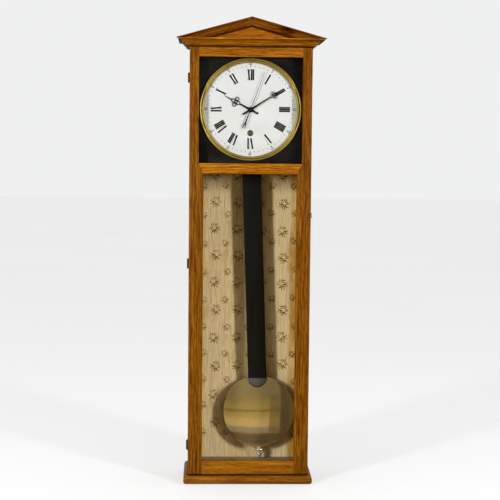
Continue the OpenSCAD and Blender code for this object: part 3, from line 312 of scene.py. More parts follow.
# Painted shadow along the foot of the cornice, over the top of the door.
painted_shade(walnut_deep, "Z", cornice_foot, cornice_foot + cornice_shade_height)
finished("cornice_front", "cornice_front_run", moulding_arris, "case", "walnut", walnut_deep, walnut_edge_wear_and_highlight)
finished("cornice_sides", "cornice_sides_run", moulding_arris, "case", "walnut", walnut_back, walnut_edge_wear_and_highlight)
raking_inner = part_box("raking_left")[1].z * math.cos(slope) - raking_width
for side, turn in (("raking_left", -slope), ("raking_right", slope)):
    along = walnut("walnut_" + side, Euler((0, math.radians(90) + turn, 0)), (0.01, 0.10, 0.02),
                   tone=1.08, red=1.17)
    # Painted shade along the inner edge of each raking length, and a painted shadow on the panel under it.
    painted_shade(along, "Z", raking_inner, raking_inner + raking_shade_height, turn)
    painted_shade(walnut_panel, "Z", raking_inner, raking_inner - panel_shade_height, turn)
    if side == "raking_right":
        knotted(along, knot_centre, knot_spread, turn)
    finished(side, side + "_run", moulding_arris, "case", "walnut", along, walnut_edge_wear_and_highlight)
finished("pediment_panel", "tympanum", panel_arris, "case", "walnut", walnut_panel, walnut_edge_wear_and_highlight)

# Back lining: watered cream cloth woven with brown sprigs, glued on a sheet in front of the
# backboard, with plain yellowed margins beside it. It has faded in streaks, and damp has stained
# it in patches and down its right edge.
cloth_cream = (0.97, 0.77, 0.43, 1)
cloth_faded = (0.70, 0.51, 0.250, 1)
cloth_stain = (0.56, 0.32, 0.075, 1)
margin_yellow = (0.97, 0.72, 0.34, 1)
margin_faded = (0.72, 0.47, 0.17, 1)
margin_stain = (0.50, 0.25, 0.022, 1)
damp_starts = 0.120
damp_full = 0.136
damp_share = 0.21


def watered_cloth(name, pale, faded, stain):
    """Woven cloth with faded streaks down it, stain in patches and a fine weave in relief."""
    made, tree, shader = new_material(name)
    place = add(tree, "ShaderNodeTexCoord")
    streaks = add(tree, "ShaderNodeTexNoise", {"Scale": 260, "Detail": 4, "Roughness": 0.7,
                                               "Distortion": 0.6})
    clouds = add(tree, "ShaderNodeTexNoise", {"Scale": 13, "Detail": 4, "Roughness": 0.65})
    wire(tree, laid(tree, grain_up, 17), "Vector", streaks, "Vector")
    wire(tree, laid(tree, grain_up, 2.5), "Vector", clouds, "Vector")
    base = ramp(tree, streaks, "Fac", [(0.34, faded), (0.62, pale)])
    split = add(tree, "ShaderNodeSeparateXYZ")
    damp = add(tree, "ShaderNodeMapRange", {"From Min": damp_starts, "From Max": damp_full,
                                            "To Max": damp_share})
    damper = add(tree, "ShaderNodeMath", operation="ADD")
    wire(tree, place, "Object", split, "Vector")
    wire(tree, split, "X", damp, "Value")
    wire(tree, clouds, "Fac", damper, 0)
    wire(tree, damp, "Result", damper, 1)
    marks = ramp(tree, damper, 0, [(0.54, (0, 0, 0, 1)), (0.76, (0.9, 0.9, 0.9, 1))])
    aged = mixed(tree, (marks, "Color"), (base, "Color"), stain)
    wire(tree, aged, 2, shader, "Base Color")
    warp = add(tree, "ShaderNodeTexWave", {"Scale": 520, "Distortion": 1.2}, bands_direction="X")
    weft = add(tree, "ShaderNodeTexWave", {"Scale": 420, "Distortion": 1.2}, bands_direction="Z")
    wire(tree, place, "Object", warp, "Vector")
    wire(tree, place, "Object", weft, "Vector")
    woven = mixed(tree, 0.5, (warp, "Color"), (weft, "Color"))
    embossed(tree, shader, woven, 2, 0.3, 0.0002)
    shader.inputs["Roughness"].default_value = 0.8
    shader.inputs["Sheen Weight"].default_value = 0.15
    shader.inputs["Specular IOR Level"].default_value = 0.2
    return made


lining_cloth = watered_cloth("watered_cream_cloth", cloth_cream, cloth_faded, cloth_stain)
margin_cloth = watered_cloth("yellowed_margin_cloth", margin_yellow, margin_faded, margin_stain)
dress(lining_cloth, "back_lining")
dress(margin_cloth, "lining_margins")

# Sprigs of the lining: small woven flowers with a stem and leaves, large and small in staggered
# columns. One is drawn petal by petal as thin raised thread, in millimetres and degrees, then
# copied over the cloth a little out of true.
sprig_pitch_x = 0.036
sprig_pitch_z = 0.088
sprig_first_x = -0.140
sprig_first_z = 0.1200
sprig_rows = 15
sprig_columns = 9
sprig_stray_x = 0.004
sprig_stray_z = 0.007
sprig_tilt = 44
sprig_large = 1.30
sprig_small = 0.92
sprig_headroom = 0.03
thread = 0.00016
thread_layer = 0.000008
thread_stain = (0.62, 0.42, 0.14, 1)
yellow_starts = 0.105
yellow_full = 0.140
lining_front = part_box("back_lining")[0].y
lining_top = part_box("back_lining")[1].z
petals = 5
petal_step = 36
bloom_up = 1.5
petal_reach = 6.0
petal_length = 7.4
petal_width = 3.0
tip_reach = 11.4
tip_length = 3.4
tip_tilt = 20
vein_reach = 6.0
vein_far = 7.6
vein_width = 2.0
vein_tilt = 12
leaf_slimness = 0.38
stem_width = 1.2
stem_overlap = 1.15
ground_layer = 0
leaf_layer = 12
rim_layer = 26
bloom_layer = 36
sprig_leaves = [(-6.0, -3.4, 202, 9.0), (6.4, -4.2, -24, 8.6), (-11.8, -2.8, 150, 5.0),
                (11.8, -5.6, 40, 4.6), (-3.6, -8.8, 236, 6.4), (4.6, -9.8, -56, 7.4),
                (-9.4, -9.6, 214, 4.6), (0.2, -14.6, -92, 5.0)]
sprig_stem = [(0, -1), (0.8, -6.5), (-0.4, -11), (0.4, -15)]
sprig_shade = [(-4.0, 6.8, 25, 11.0, 7.6), (4.8, 5.0, -20, 9.6, 6.4), (3.4, -5.4, 10, 10.0, 5.4),
               (-5.0, -4.0, 20, 9.4, 5.0)]


def thread_material(name, colour, lighter):
    """Mottled thread, worn pale in places and yellowed with the cloth down the right edge."""
    made, tree, shader = new_material(name)
    spots = add(tree, "ShaderNodeTexNoise", {"Scale": 260, "Detail": 3, "Roughness": 0.6})
    wire(tree, laid(tree, grain_up, 2), "Vector", spots, "Vector")
    tint = ramp(tree, spots, "Fac", [(0.38, colour), (0.66, lighter)])
    wear = add(tree, "ShaderNodeTexNoise", {"Scale": 24, "Detail": 2, "Roughness": 0.5})
    wire(tree, laid(tree, grain_up, 1, (0.02, 0, 0.05)), "Vector", wear, "Vector")
    worn = ramp(tree, wear, "Fac", [(0.52, (0, 0, 0, 1)), (0.66, (0.45, 0.45, 0.45, 1))])
    faded = mixed(tree, (worn, "Color"), (tint, "Color"), cloth_faded)
    split = add(tree, "ShaderNodeSeparateXYZ")
    damp = add(tree, "ShaderNodeMapRange", {"From Min": yellow_starts, "From Max": yellow_full,
                                            "To Max": 0.9})
    wire(tree, add(tree, "ShaderNodeTexCoord"), "Object", split, "Vector")
    wire(tree, split, "X", damp, "Value")
    stained = mixed(tree, (damp, "Result"), (faded, 2), thread_stain, "MULTIPLY")
    wire(tree, stained, 2, shader, "Base Color")
    embossed(tree, shader, spots, "Fac", 0.4, 0.0002)
    shader.inputs["Roughness"].default_value = 0.75
    shader.inputs["Specular IOR Level"].default_value = 0.15
    return made


olive_thread = thread_material("olive_brown_thread", (0.078, 0.042, 0.003, 1), (0.24, 0.138, 0.016, 1))
rose_thread = thread_material("rose_brown_thread", (0.125, 0.057, 0.008, 1), (0.35, 0.185, 0.042, 1))
cream_thread = thread_material("cream_thread", (0.62, 0.46, 0.24, 1), (1.0, 0.82, 0.52, 1))
tan_thread = thread_material("tan_thread", (0.33, 0.195, 0.048, 1), (0.60, 0.40, 0.155, 1))


def leaf(x, z, angle, length, width):
    """One flat petal, drawn as a narrow disc at its place in millimetres."""
    bpy.ops.mesh.primitive_circle_add(vertices=7, radius=length / 2000, fill_type="NGON",
                                      location=(x / 1000, 0, z / 1000))
    petal = bpy.context.object
    petal.scale = (1, width / length, 1)
    petal.rotation_euler = Euler((math.radians(90), -math.radians(angle), 0))
    return petal


def petal_out(angle, reach, tilt, length, width):
    """A petal at reach from the heart of the bloom, pointing outwards but for its tilt."""
    out = math.radians(angle)
    return leaf(reach * math.cos(out), bloom_up + reach * math.sin(out), angle + tilt, length, width)


def joined(parts, name):
    """Several parts made one piece that keeps their places in its mesh."""
    bpy.ops.object.select_all(action="DESELECT")
    for part in parts:
        part.select_set(True)
    bpy.context.view_layer.objects.active = parts[0]
    bpy.ops.object.join()
    whole = bpy.context.object
    whole.name = name
    bpy.ops.object.transform_apply(location=True, rotation=True, scale=True)
    return whole


def layered(parts, first):
    """Each petal lies a hair over the one before it, from the given layer up."""
    for number, part in enumerate(parts, first):
        part.location.y = -thread_layer * number
    return parts


def thickened(piece, depth):
    """Flat petals given the thickness of the thread."""
    bpy.context.view_layer.objects.active = piece
    wall = piece.modifiers.new("thread", "SOLIDIFY")
    wall.thickness = depth
    wall.offset = 0
    bpy.ops.object.modifier_apply(modifier="thread")
    return piece


bpy.ops.object.select_all(action="DESELECT")
blush = []
cream = []
for petal in range(petals):
    angle = petal_step * (petal + 0.5)
    cream.append(petal_out(angle, petal_reach, 0, petal_length, petal_width))
    if petal % 2 == 0:
        blush.append(petal_out(angle, tip_reach, tip_tilt, tip_length, vein_width))
for vein in range(petals + 1):
    reach = vein_reach if vein % 2 else vein_far
    blush.append(petal_out(petal_step * vein, reach, vein_tilt, reach, vein_width))
rim = thickened(joined(layered(blush, rim_layer), "bloom_rim"), thread)
rim.data.materials.append(rose_thread)
bloom = thickened(joined(layered(cream, bloom_layer), "bloom"), thread)
bloom.data.materials.append(cream_thread)
leaves = [leaf(x, z, angle, length, length * leaf_slimness) for x, z, angle, length in sprig_leaves]
for (x0, z0), (x1, z1) in zip(sprig_stem, sprig_stem[1:]):
    bend = math.degrees(math.atan2(z1 - z0, x1 - x0))
    run = math.dist((x0, z0), (x1, z1)) * stem_overlap
    leaves.append(leaf((x0 + x1) / 2, (z0 + z1) / 2, bend, run, stem_width))
foliage = thickened(joined(layered(leaves, leaf_layer), "foliage"), thread)
foliage.data.materials.append(olive_thread)
shading = [leaf(*petal) for petal in sprig_shade]
ground = thickened(joined(layered(shading, ground_layer), "tan_ground"), thread / 2)
ground.data.materials.append(tan_thread)
pattern = joined([foliage, rim, bloom, ground], "pattern_sprig")

sprigs = []
for column in range(sprig_columns):
    for row in range(sprig_rows):
        # two waves out of step with the columns and rows, so that hardly two sprigs lie alike
        stray = math.sin(7.3 * column + 3.1 * row)
        lift = math.cos(5.7 * row + 2.9 * column)
        x = sprig_first_x + column * sprig_pitch_x + sprig_stray_x * stray
        z = sprig_first_z + (row + 0.5 * (column % 2)) * sprig_pitch_z + sprig_stray_z * lift
        if z < lining_top - sprig_headroom:
            copy = linked("sprig", pattern.data.copy())
            turn = Matrix.Rotation(math.radians(sprig_tilt * stray), 4, "Y")
            size = sprig_large if column % 2 else sprig_small
            mirror_x = Matrix.Diagonal(((-1) ** row * size, 1, size, 1))
            copy.data.transform(Matrix.Translation((x, lining_front - thread / 2, z)) @ turn @ mirror_x)
            if row % 2:
                copy.data.flip_normals()
            sprigs.append(copy)
bpy.data.objects.remove(pattern)
woven_sprigs = joined(sprigs, "lining_sprigs")
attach(woven_sprigs, "case")

# Floor of the case: a pale deal board fitted between the sides and left bare. Dust has darkened
# it, so its grain shows only faintly.
deal, tree, shader = new_material("pale_deal")
deal_lay = laid(tree, grain_across, 30)
deal_grain = add(tree, "ShaderNodeTexNoise", {"Scale": 160, "Detail": 4, "Roughness": 0.6})
wire(tree, deal_lay, "Vector", deal_grain, "Vector")
deal_tint = ramp(tree, deal_grain, "Fac", [(0.35, (0.22, 0.165, 0.100, 1)), (0.65, (0.40, 0.33, 0.225, 1))])
wire(tree, deal_tint, "Color", shader, "Base Color")
shader.inputs["Roughness"].default_value = 0.7
finished("floor_board", "floor_board_planed", arris, "case", "pale_wood", deal)

# Iron and steel: the cast brackets that hold movement and pendulum, the plate that hangs the
# clock, springs blued in the fire, and the bright winding arbor, click and pallets. Black paint
# has worn thin on the castings.


def forged(name, colour, lighter, rough, metallic, relief_depth):
    """Worked metal: one colour worn lighter in patches, duller there, with a fine skin."""
    made, tree, shader = new_material(name)
    place = add(tree, "ShaderNodeTexCoord")
    grain = add(tree, "ShaderNodeTexNoise", {"Scale": 900, "Detail": 4, "Roughness": 0.6})
    patch = add(tree, "ShaderNodeTexNoise", {"Scale": 60, "Detail": 3, "Roughness": 0.6})
    wire(tree, place, "Object", grain, "Vector")
    wire(tree, place, "Object", patch, "Vector")
    tint = ramp(tree, patch, "Fac", [(0.40, colour), (0.70, lighter)])
    wire(tree, tint, "Color", shader, "Base Color")
    dull = ramp(tree, patch, "Fac", [(0.3, (rough,) * 3 + (1,)), (0.8, (rough + 0.2,) * 3 + (1,))])
    wire(tree, dull, "Color", shader, "Roughness")
    embossed(tree, shader, grain, "Fac", 0.3, relief_depth)
    shader.inputs["Metallic"].default_value = metallic
    shader.inputs["Specular IOR Level"].default_value = 0.15
    return made


cast_edge = 0.0008
filed_edge = 0.0003
cast_iron = forged("black_cast_iron", (0.016, 0.015, 0.014, 1), (0.06, 0.05, 0.042, 1), 0.45, 0.6, 0.0003)
bright_steel = forged("bright_steel", (0.42, 0.42, 0.43, 1), (0.60, 0.60, 0.61, 1), 0.22, 1.0, 0.00003)
blued_steel = forged("blued_steel", (0.020, 0.026, 0.055, 1), (0.045, 0.050, 0.085, 1), 0.25, 1.0,
                     0.00003)
finished("seat_brackets", "seat_brackets_cast", cast_edge, "case", "iron", cast_iron)
finished("suspension_bracket", "suspension_bracket_cast", cast_edge, "case", "iron", cast_iron)
finished("hanger_plate", "hanger_plate_filed", filed_edge, "case", "blued_steel", blued_steel, bright_steel)
dress(blued_steel, "click_spring", "mainspring")
dress(bright_steel, "winding_arbor", "click", "pallets")

# Movement: polished brass plates on four turned pillars, with brass wheels cut and crossed out.
# Old lacquer has gone olive in patches and the turning marks still show.
brass_bright = (0.66, 0.46, 0.145, 1)
brass_olive = (0.30, 0.215, 0.060, 1)
pillar_edge = 0.0002


def brass(name, centre, bright=brass_bright, olive=brass_olive, rough=0.24, marks=1400, clouds=28,
          metal=1.0, haze=0.18):
    """Lacquered brass with fine turning marks round an axis that runs back from centre."""
    made, tree, shader = new_material(name)
    place = add(tree, "ShaderNodeTexCoord")
    around = add(tree, "ShaderNodeMapping", vector_type="TEXTURE")
    around.inputs["Location"].default_value = centre
    wire(tree, place, "Object", around, "Vector")
    flat = add(tree, "ShaderNodeVectorMath", operation="MULTIPLY")
    flat.inputs[1].default_value = (1, 0, 1)
    wire(tree, around, "Vector", flat, 0)
    radius = add(tree, "ShaderNodeVectorMath", operation="LENGTH")
    wire(tree, flat, "Vector", radius, 0)
    turned = add(tree, "ShaderNodeTexNoise", {"Scale": marks, "Detail": 3}, noise_dimensions="1D")
    wire(tree, radius, "Value", turned, "W")
    cloud = add(tree, "ShaderNodeTexNoise", {"Scale": clouds, "Detail": 4, "Roughness": 0.6})
    wire(tree, place, "Object", cloud, "Vector")
    tint = ramp(tree, cloud, "Fac", [(0.38, bright), (0.72, olive)])
    wire(tree, tint, "Color", shader, "Base Color")
    dull = ramp(tree, cloud, "Fac", [(0.35, (rough,) * 3 + (1,)), (0.75, (rough + haze,) * 3 + (1,))])
    wire(tree, dull, "Color", shader, "Roughness")
    embossed(tree, shader, turned, "Fac", 0.12, 0.00008)
    shader.inputs["Metallic"].default_value = metal
    return made


bezel_low, bezel_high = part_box("bezel")
dial_centre = (bezel_low + bezel_high) / 2
movement_brass = brass("movement_brass", dial_centre, marks=500)
for plate in ("back_plate", "front_plate"):
    finished(plate, plate + "_filed", filed_edge, "case", "brass", movement_brass)
finished("pillars", "pillars_turned", pillar_edge, "case", "brass", movement_brass)
dress(movement_brass, "barrel", "second_wheel", "hour_arbor_wheel", "third_wheel", "escape_wheel",
      "cannon_wheel", "idler_wheel", "hour_wheel")

# Mask: a thin board painted black, with the dial and its turned brass bezel screwed in front and
# a brass bush in the winding hole. The paint has gone dull and dusty, so it isn't quite even.
bezel_edge = 0.00025
bush_edge = 0.0001
mask_paint, tree, shader = new_material("black_mask_paint")
mask_spots = add(tree, "ShaderNodeTexNoise", {"Scale": 34, "Detail": 5, "Roughness": 0.7})
wire(tree, laid(tree, grain_across, 3), "Vector", mask_spots, "Vector")
mask_tint = ramp(tree, mask_spots, "Fac", [(0.42, (0.0030, 0.0028, 0.0024, 1)),
                                           (0.75, (0.0140, 0.0110, 0.0080, 1))])
wire(tree, mask_tint, "Color", shader, "Base Color")
mask_gloss = ramp(tree, mask_spots, "Fac", [(0.35, (0.40, 0.40, 0.40, 1)), (0.75, (0.55, 0.55, 0.55, 1))])
wire(tree, mask_gloss, "Color", shader, "Roughness")
shader.inputs["Specular IOR Level"].default_value = 0.08
finished("dial_mask", "dial_mask_painted", filed_edge, "case", "black_board", mask_paint)
bezel_brass = brass("bezel_brass", dial_centre, bright=(0.45, 0.335, 0.075, 1),
                    olive=(0.29, 0.21, 0.045, 1), rough=0.40, marks=900, clouds=16)
finished("bezel", "bezel_turned", bezel_edge, "case", "brass", bezel_brass, sharp=25)
bush_low, bush_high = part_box("winding_bush")
bush_brass = brass("bush_brass", (bush_low + bush_high) / 2, bright=(0.16, 0.115, 0.035, 1),
                   olive=(0.085, 0.062, 0.022, 1), rough=0.42, marks=2500)
finished("winding_bush", "winding_bush_turned", bush_edge, "case", "brass", bush_brass)

# Dial: a flat iron plate painted white, held behind the bezel. The paint is slightly cool, with
# faint dust and fine wear.
dial_edge = 0.0001
dial_white, tree, shader = new_material("white_dial_paint")
dial_place = add(tree, "ShaderNodeTexCoord")
dial_cloud = add(tree, "ShaderNodeTexNoise", {"Scale": 22, "Detail": 5, "Roughness": 0.6})
wire(tree, dial_place, "Object", dial_cloud, "Vector")
dial_tint = ramp(tree, dial_cloud, "Fac", [(0.35, (0.645, 0.660, 0.678, 1)),
                                           (0.70, (0.680, 0.692, 0.702, 1))])
wire(tree, dial_tint, "Color", shader, "Base Color")
dial_fine = add(tree, "ShaderNodeTexNoise", {"Scale": 700, "Detail": 2})
wire(tree, dial_place, "Object", dial_fine, "Vector")
embossed(tree, shader, dial_fine, "Fac", 0.08, 0.0001)
shader.inputs["Roughness"].default_value = 0.38
finished("dial", "dial_painted", dial_edge, "case", "dial_white", dial_white)

# Hour figures: Roman, painted in black with thick strokes and hair lines, feet to the centre.
# Each stroke is a flat outline a tenth of a millimetre thick, and each letter is made once. The
# ring of figures is centred a little above the middle of the bezel.
figure_foot = 0.0881
figure_height = 0.0330
thick = 0.0049
hair = 0.0009
lean = 0.0038
ink_t = 0.0001
off_centre = Vector((-0.0005, 0, 0.0013))
dial_face = dial_centre.copy()
dial_face.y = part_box("dial")[0].y
dial_face += off_centre
figure_black, tree, shader = new_material("figure_black")
ink_spots = add(tree, "ShaderNodeTexNoise", {"Scale": 400, "Detail": 3})
wire(tree, laid(tree, grain_up, 1), "Vector", ink_spots, "Vector")
ink_tint = ramp(tree, ink_spots, "Fac", [(0.4, (0.0020, 0.0020, 0.0026, 1)),
                                         (0.8, (0.0080, 0.0080, 0.0095, 1))])
wire(tree, ink_tint, "Color", shader, "Base Color")
shader.inputs["Roughness"].default_value = 0.6
shader.inputs["Specular IOR Level"].default_value = 0.1


def inked(piece):
    """Painted in black on the dial, so it rides on the case."""
    piece.data.materials.append(figure_black)
    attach(piece, "case")


def outline(points):
    """A flat filled outline in the figure's own plane: X right, Y up, feet on Y 0."""
    curve = bpy.data.curves.new("stroke", "CURVE")
    curve.dimensions = "2D"
    curve.fill_mode = "BOTH"
    curve.extrude = ink_t / 2
    line = curve.splines.new("POLY")
    line.points.add(len(points) - 1)
    for point, (x, y) in zip(line.points, points):
        point.co = (x, y, 0, 1)
    line.use_cyclic_u = True
    picked(linked("stroke", curve))
    bpy.ops.object.convert(target="MESH")
    return bpy.context.object


def slanted(x0, x1, width):
    """A stroke from x0 at the foot to x1 at the head."""
    return [(x0 - width / 2, 0), (x0 + width / 2, 0), (x1 + width / 2, figure_height),
            (x1 - width / 2, figure_height)]


def serif(x, y, width):
    """A hair line across the foot or the head of a stroke."""
    return [(x - width / 2, y - hair / 2), (x + width / 2, y - hair / 2), (x + width / 2, y + hair / 2),
            (x - width / 2, y + hair / 2)]


foot = hair / 2
head = figure_height - hair / 2
broad = 0.0068
narrow = broad * 0.7
letters = {
    "I": [slanted(0, 0, thick), serif(0, foot, broad), serif(0, head, broad)],
    "V": [slanted(0, -1.4 * lean, thick), slanted(0.4 * lean, 1.4 * lean, hair),
          serif(-1.4 * lean, head, broad), serif(1.4 * lean, head, narrow)],
    "X": [slanted(lean / 2, -lean / 2, thick), slanted(-0.9 * lean, 0.9 * lean, hair),
          serif(lean / 2, foot, broad), serif(-lean / 2, head, broad),
          serif(-0.9 * lean, foot, narrow), serif(0.9 * lean, head, narrow)],
}
letter_half = {"I": 0.00268, "V": 0.0060, "X": 0.0056}
letter_mesh = {}
for letter, strokes in letters.items():
    parts = [outline(points) for points in strokes]
    letter_mesh[letter] = joined(parts, "letter_" + letter)


def set_on_dial(mesh, name, clockwise, reach, across):
    """A flat mesh, feet down, stood at reach from the dial's centre and turned to its hour."""
    placed = linked(name, mesh.copy())
    upright = Matrix.Rotation(math.radians(90), 4, "X")
    placed.data.transform(Matrix.Translation((across, -ink_t / 2, reach)) @ upright)
    to_hour = Matrix.Rotation(math.radians(clockwise), 4, "Y")
    placed.data.transform(Matrix.Translation(dial_face) @ to_hour)
    return placed


hour_figures = ("I", "II", "III", "IIII", "V", "VI", "VII", "VIII", "IX", "X", "XI", "XII")
for hour, figure in enumerate(hour_figures, 1):
    across = -sum(letter_half[letter] for letter in figure)
    parts = []
    for letter in figure:
        across += letter_half[letter]
        parts.append(set_on_dial(letter_mesh[letter].data, "letter", hour * 30, figure_foot, across))
        across += letter_half[letter]
    inked(joined(parts, "hour_figure_%d" % hour))
for made in letter_mesh.values():
    bpy.data.objects.remove(made)

# Minute ring: sixty fine dots, heavier at each five, and small figures from 5 to 60 outside them.
# They lie as thin on the dial as the hour figures.
dot_reach = 0.1305
dot_r = 0.0013
five_dot_r = 0.0019
small_reach = 0.1340
small_height = 0.0072
type_over_height = 1.38
small_boldness = 0.00012
dots = []
for minute in range(60):
    turn = math.radians(minute * 6)
    radius = five_dot_r if minute % 5 == 0 else dot_r
    bpy.ops.object.select_all(action="DESELECT")
    bpy.ops.mesh.primitive_cylinder_add(
        vertices=12, radius=radius, depth=ink_t, rotation=(math.radians(90), 0, 0),
        location=dial_face + Vector((dot_reach * math.sin(turn), -ink_t / 2, dot_reach * math.cos(turn))))
    dots.append(bpy.context.object)
inked(joined(dots, "minute_dots"))
figures = []
for five in range(1, 13):
    words = bpy.data.curves.new("five", "FONT")
    words.body = str(five * 5)
    words.size = small_height * type_over_height
    words.extrude = ink_t / 2
    words.offset = small_boldness
    words.align_x = "CENTER"
    picked(linked("five", words))
    bpy.ops.object.convert(target="MESH")
    flat_figure = bpy.context.object
    figures.append(set_on_dial(flat_figure.data, "five", five * 30, small_reach, 0))
    bpy.data.objects.remove(flat_figure)
inked(joined(figures, "minute_figures"))

# Hands: pierced steel with scrolls before the tips, filed up and blued nearly black, and a slim
# centre seconds hand with a swallow tail. The filed edges catch the light.
hand_steel = forged("blackened_hand_steel", (0.014, 0.012, 0.014, 1), (0.036, 0.030, 0.028, 1), 0.24,
                    0.9, 0.00002)
hand_edge = 0.00025
seconds_edge = 0.0001
finished("hour_hand", "hour_hand_filed", hand_edge, "hour", "blued_steel", hand_steel)
finished("minute_hand", "minute_hand_filed", hand_edge, "minute", "blued_steel", hand_steel)
finished("seconds_hand", "seconds_hand_filed", seconds_edge, "seconds", "blued_steel", hand_steel)

# Pendulum: a broad deal rod ebonised black, hung on a spring, and a heavy brass bob that a
# knurled nut raises and lowers. The bob was polished in the lathe, so turning marks ring it, and
# a painted reflection greys the black at the rod's round end.
rod_lean = math.radians(-2.1)
# A painted reflection greys the black over the lowest few millimetres of the rod's round end.
reflection_starts = 0.3095
reflection_full = 0.3065
rod_edge = 0.0007
bob_edge = 0.0004
ebony, tree, shader = new_material("ebonised_rod")
ebony_grain = add(tree, "ShaderNodeTexNoise", {"Scale": 300, "Detail": 4, "Roughness": 0.6})
wire(tree, laid(tree, Euler((0, rod_lean, 0)), 50), "Vector", ebony_grain, "Vector")
ebony_tint = ramp(tree, ebony_grain, "Fac", [(0.40, (0.0025, 0.0024, 0.0019, 1)),
                                             (0.72, (0.0070, 0.0062, 0.0045, 1))])
ebony_split = add(tree, "ShaderNodeSeparateXYZ")
ebony_reflection_mask = add(tree, "ShaderNodeMapRange", {"From Min": reflection_starts, "From Max": reflection_full})
ebony_painted_reflection = ramp(tree, ebony_grain, "Fac", [(0.35, (0.070, 0.068, 0.066, 1)),
                                             (0.70, (0.110, 0.102, 0.092, 1))])
wire(tree, add(tree, "ShaderNodeTexCoord"), "Object", ebony_split, "Vector")
wire(tree, ebony_split, "Z", ebony_reflection_mask, "Value")
ebony_whole = mixed(tree, (ebony_reflection_mask, "Result"), (ebony_tint, "Color"), (ebony_painted_reflection, "Color"))
wire(tree, ebony_whole, 2, shader, "Base Color")
embossed(tree, shader, ebony_grain, "Fac", 0.2, 0.0002)
shader.inputs["Roughness"].default_value = 0.5
shader.inputs["Specular IOR Level"].default_value = 0.06
# The rod's eased edges are lighter: worn black and a painted highlight.
ebony_edge_wear_and_highlight = forged("ebonised_edge_wear_and_painted_highlight", (0.040, 0.036, 0.030, 1), (0.11, 0.095, 0.075, 1), 0.4,
                    0.0, 0.0001)
finished("pendulum_rod", "pendulum_rod_ebonised", rod_edge, "pendulum", "ebonised", ebony, ebony_edge_wear_and_highlight)
bob_low, bob_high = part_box("bob")
bob_centre = (bob_low + bob_high) / 2
bob_brass = brass("bob_brass", bob_centre, bright=(0.62, 0.46, 0.19, 1), olive=(0.46, 0.35, 0.14, 1),
                  rough=0.06, marks=700, clouds=9, metal=0.78, haze=0.05)
finished("bob", "bob_turned", bob_edge, "bob", "brass", bob_brass, sharp=40)
nut_low, nut_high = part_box("rating_nut")
nut_brass = brass("nut_brass", (nut_low + nut_high) / 2, bright=(0.95, 0.88, 0.70, 1), rough=0.16,
                  metal=0.7)
finished("rating_nut", "rating_nut_turned", filed_edge, "nut", "brass", nut_brass)

# Door: stiles the full height with the top rail between them, thinner strips inside the stiles,
# a rail between the glasses mitred into the strips and a bottom rail. All are separate lengths of
# walnut, so fine dark joint lines show and the grain turns; shade is painted into the lowest joints.
stile_inner = 0.1575
strip_inner = 0.1476
strip_shade_width = 0.0036
door_arris = 0.0006
bead_arris = 0.0004
door_foot = 0.0270
foot_shade_top = 0.0330
walnut_golden = walnut("walnut_rail_golden", grain_across, (0.03, 0.06, 0.02), tone=2.05,
                       figure=0.16)
walnut_top = walnut("walnut_top_rail", grain_across, (0.05, 0.05, 0.01), tone=1.58, figure=0.18,
                    red=1.05)
walnut_left = walnut("walnut_left_stile", grain_up, (0.04, 0.09, 0), tone=1.08)
walnut_right = walnut("walnut_right_stile", grain_up, (0.01, 0.06, 0.05), tone=0.98, red=1.07)
for side, name, along in ((-1, "door_stile_left", walnut_left), (1, "door_stile_right", walnut_right)):
    # Painted shade along the foot of each stile.
    painted_shade(along, "Z", door_foot, foot_shade_top)
    cut = (Vector((side * stile_inner, 0, 0)), Vector((-side, 0, 0)))
    stile = welded("door_frame", name, keep=[cut])
    fit(eased(stile, door_arris), "door", "door_frame", "walnut", along, walnut_edge_wear_and_highlight)
top_rail = welded("door_frame", "door_top_rail", keep=[
    (Vector((-stile_inner, 0, 0)), Vector((-1, 0, 0))), (Vector((stile_inner, 0, 0)), Vector((1, 0, 0)))])
fit(eased(top_rail, door_arris), "door", "door_frame", "walnut", walnut_top, walnut_edge_wear_and_highlight)
finished("mid_rail", "door_mid_rail", door_arris, "door", "walnut", walnut_golden, walnut_edge_wear_and_highlight)
walnut_strips = walnut("walnut_inner_strips", grain_up, (0.07, 0.02, 0.03), tone=1.04)
# Painted shade along the foot of the inner strips.
painted_shade(walnut_strips, "Z", door_foot, foot_shade_top)
finished("inner_strips", "door_inner_strips", door_arris, "door", "walnut", walnut_strips, walnut_edge_wear_and_highlight)
walnut_low = walnut("walnut_bottom_rail", grain_across, (0.01, 0.08, 0.04), tone=1.44, figure=0.06)
# Painted shade along the foot of the bottom rail and beside each inner strip.
painted_shade(walnut_low, "Z", door_foot, foot_shade_top)
painted_shade(walnut_low, "X", -strip_inner, strip_shade_width - strip_inner)
painted_shade(walnut_low, "X", strip_inner, strip_inner - strip_shade_width)
finished("bottom_rail", "door_bottom_rail", door_arris, "door", "walnut", walnut_low, walnut_edge_wear_and_highlight)
finished("glass_beads", "glass_beads_planed", bead_arris, "door", "walnut", walnut_up, walnut_edge_wear_and_highlight)

# Panes: old thin glass, a trace green, held by the beads. It mirrors a little at a slant and is
# otherwise clear, with a faint waviness.
pane_glass = bpy.data.materials.new("thin_old_glass")
pane_glass.use_nodes = True
tree = pane_glass.node_tree
tree.nodes.remove(tree.nodes["Principled BSDF"])
clear = add(tree, "ShaderNodeBsdfTransparent", {"Color": (0.990, 0.992, 0.989, 1)})
mirror = add(tree, "ShaderNodeBsdfAnisotropic", {"Color": (0.9, 0.93, 0.92, 1), "Roughness": 0.03})
slant = add(tree, "ShaderNodeLayerWeight", {"Blend": 0.5})
steep = add(tree, "ShaderNodeMath", {1: 4.0}, operation="POWER")
share = add(tree, "ShaderNodeMapRange", {"To Min": 0.006, "To Max": 0.75})
wave = add(tree, "ShaderNodeTexNoise", {"Scale": 7, "Detail": 1})
wave_relief = add(tree, "ShaderNodeBump", {"Strength": 0.05, "Distance": 0.002})
either = add(tree, "ShaderNodeMixShader")
wire(tree, add(tree, "ShaderNodeTexCoord"), "Object", wave, "Vector")
wire(tree, wave, "Fac", wave_relief, "Height")
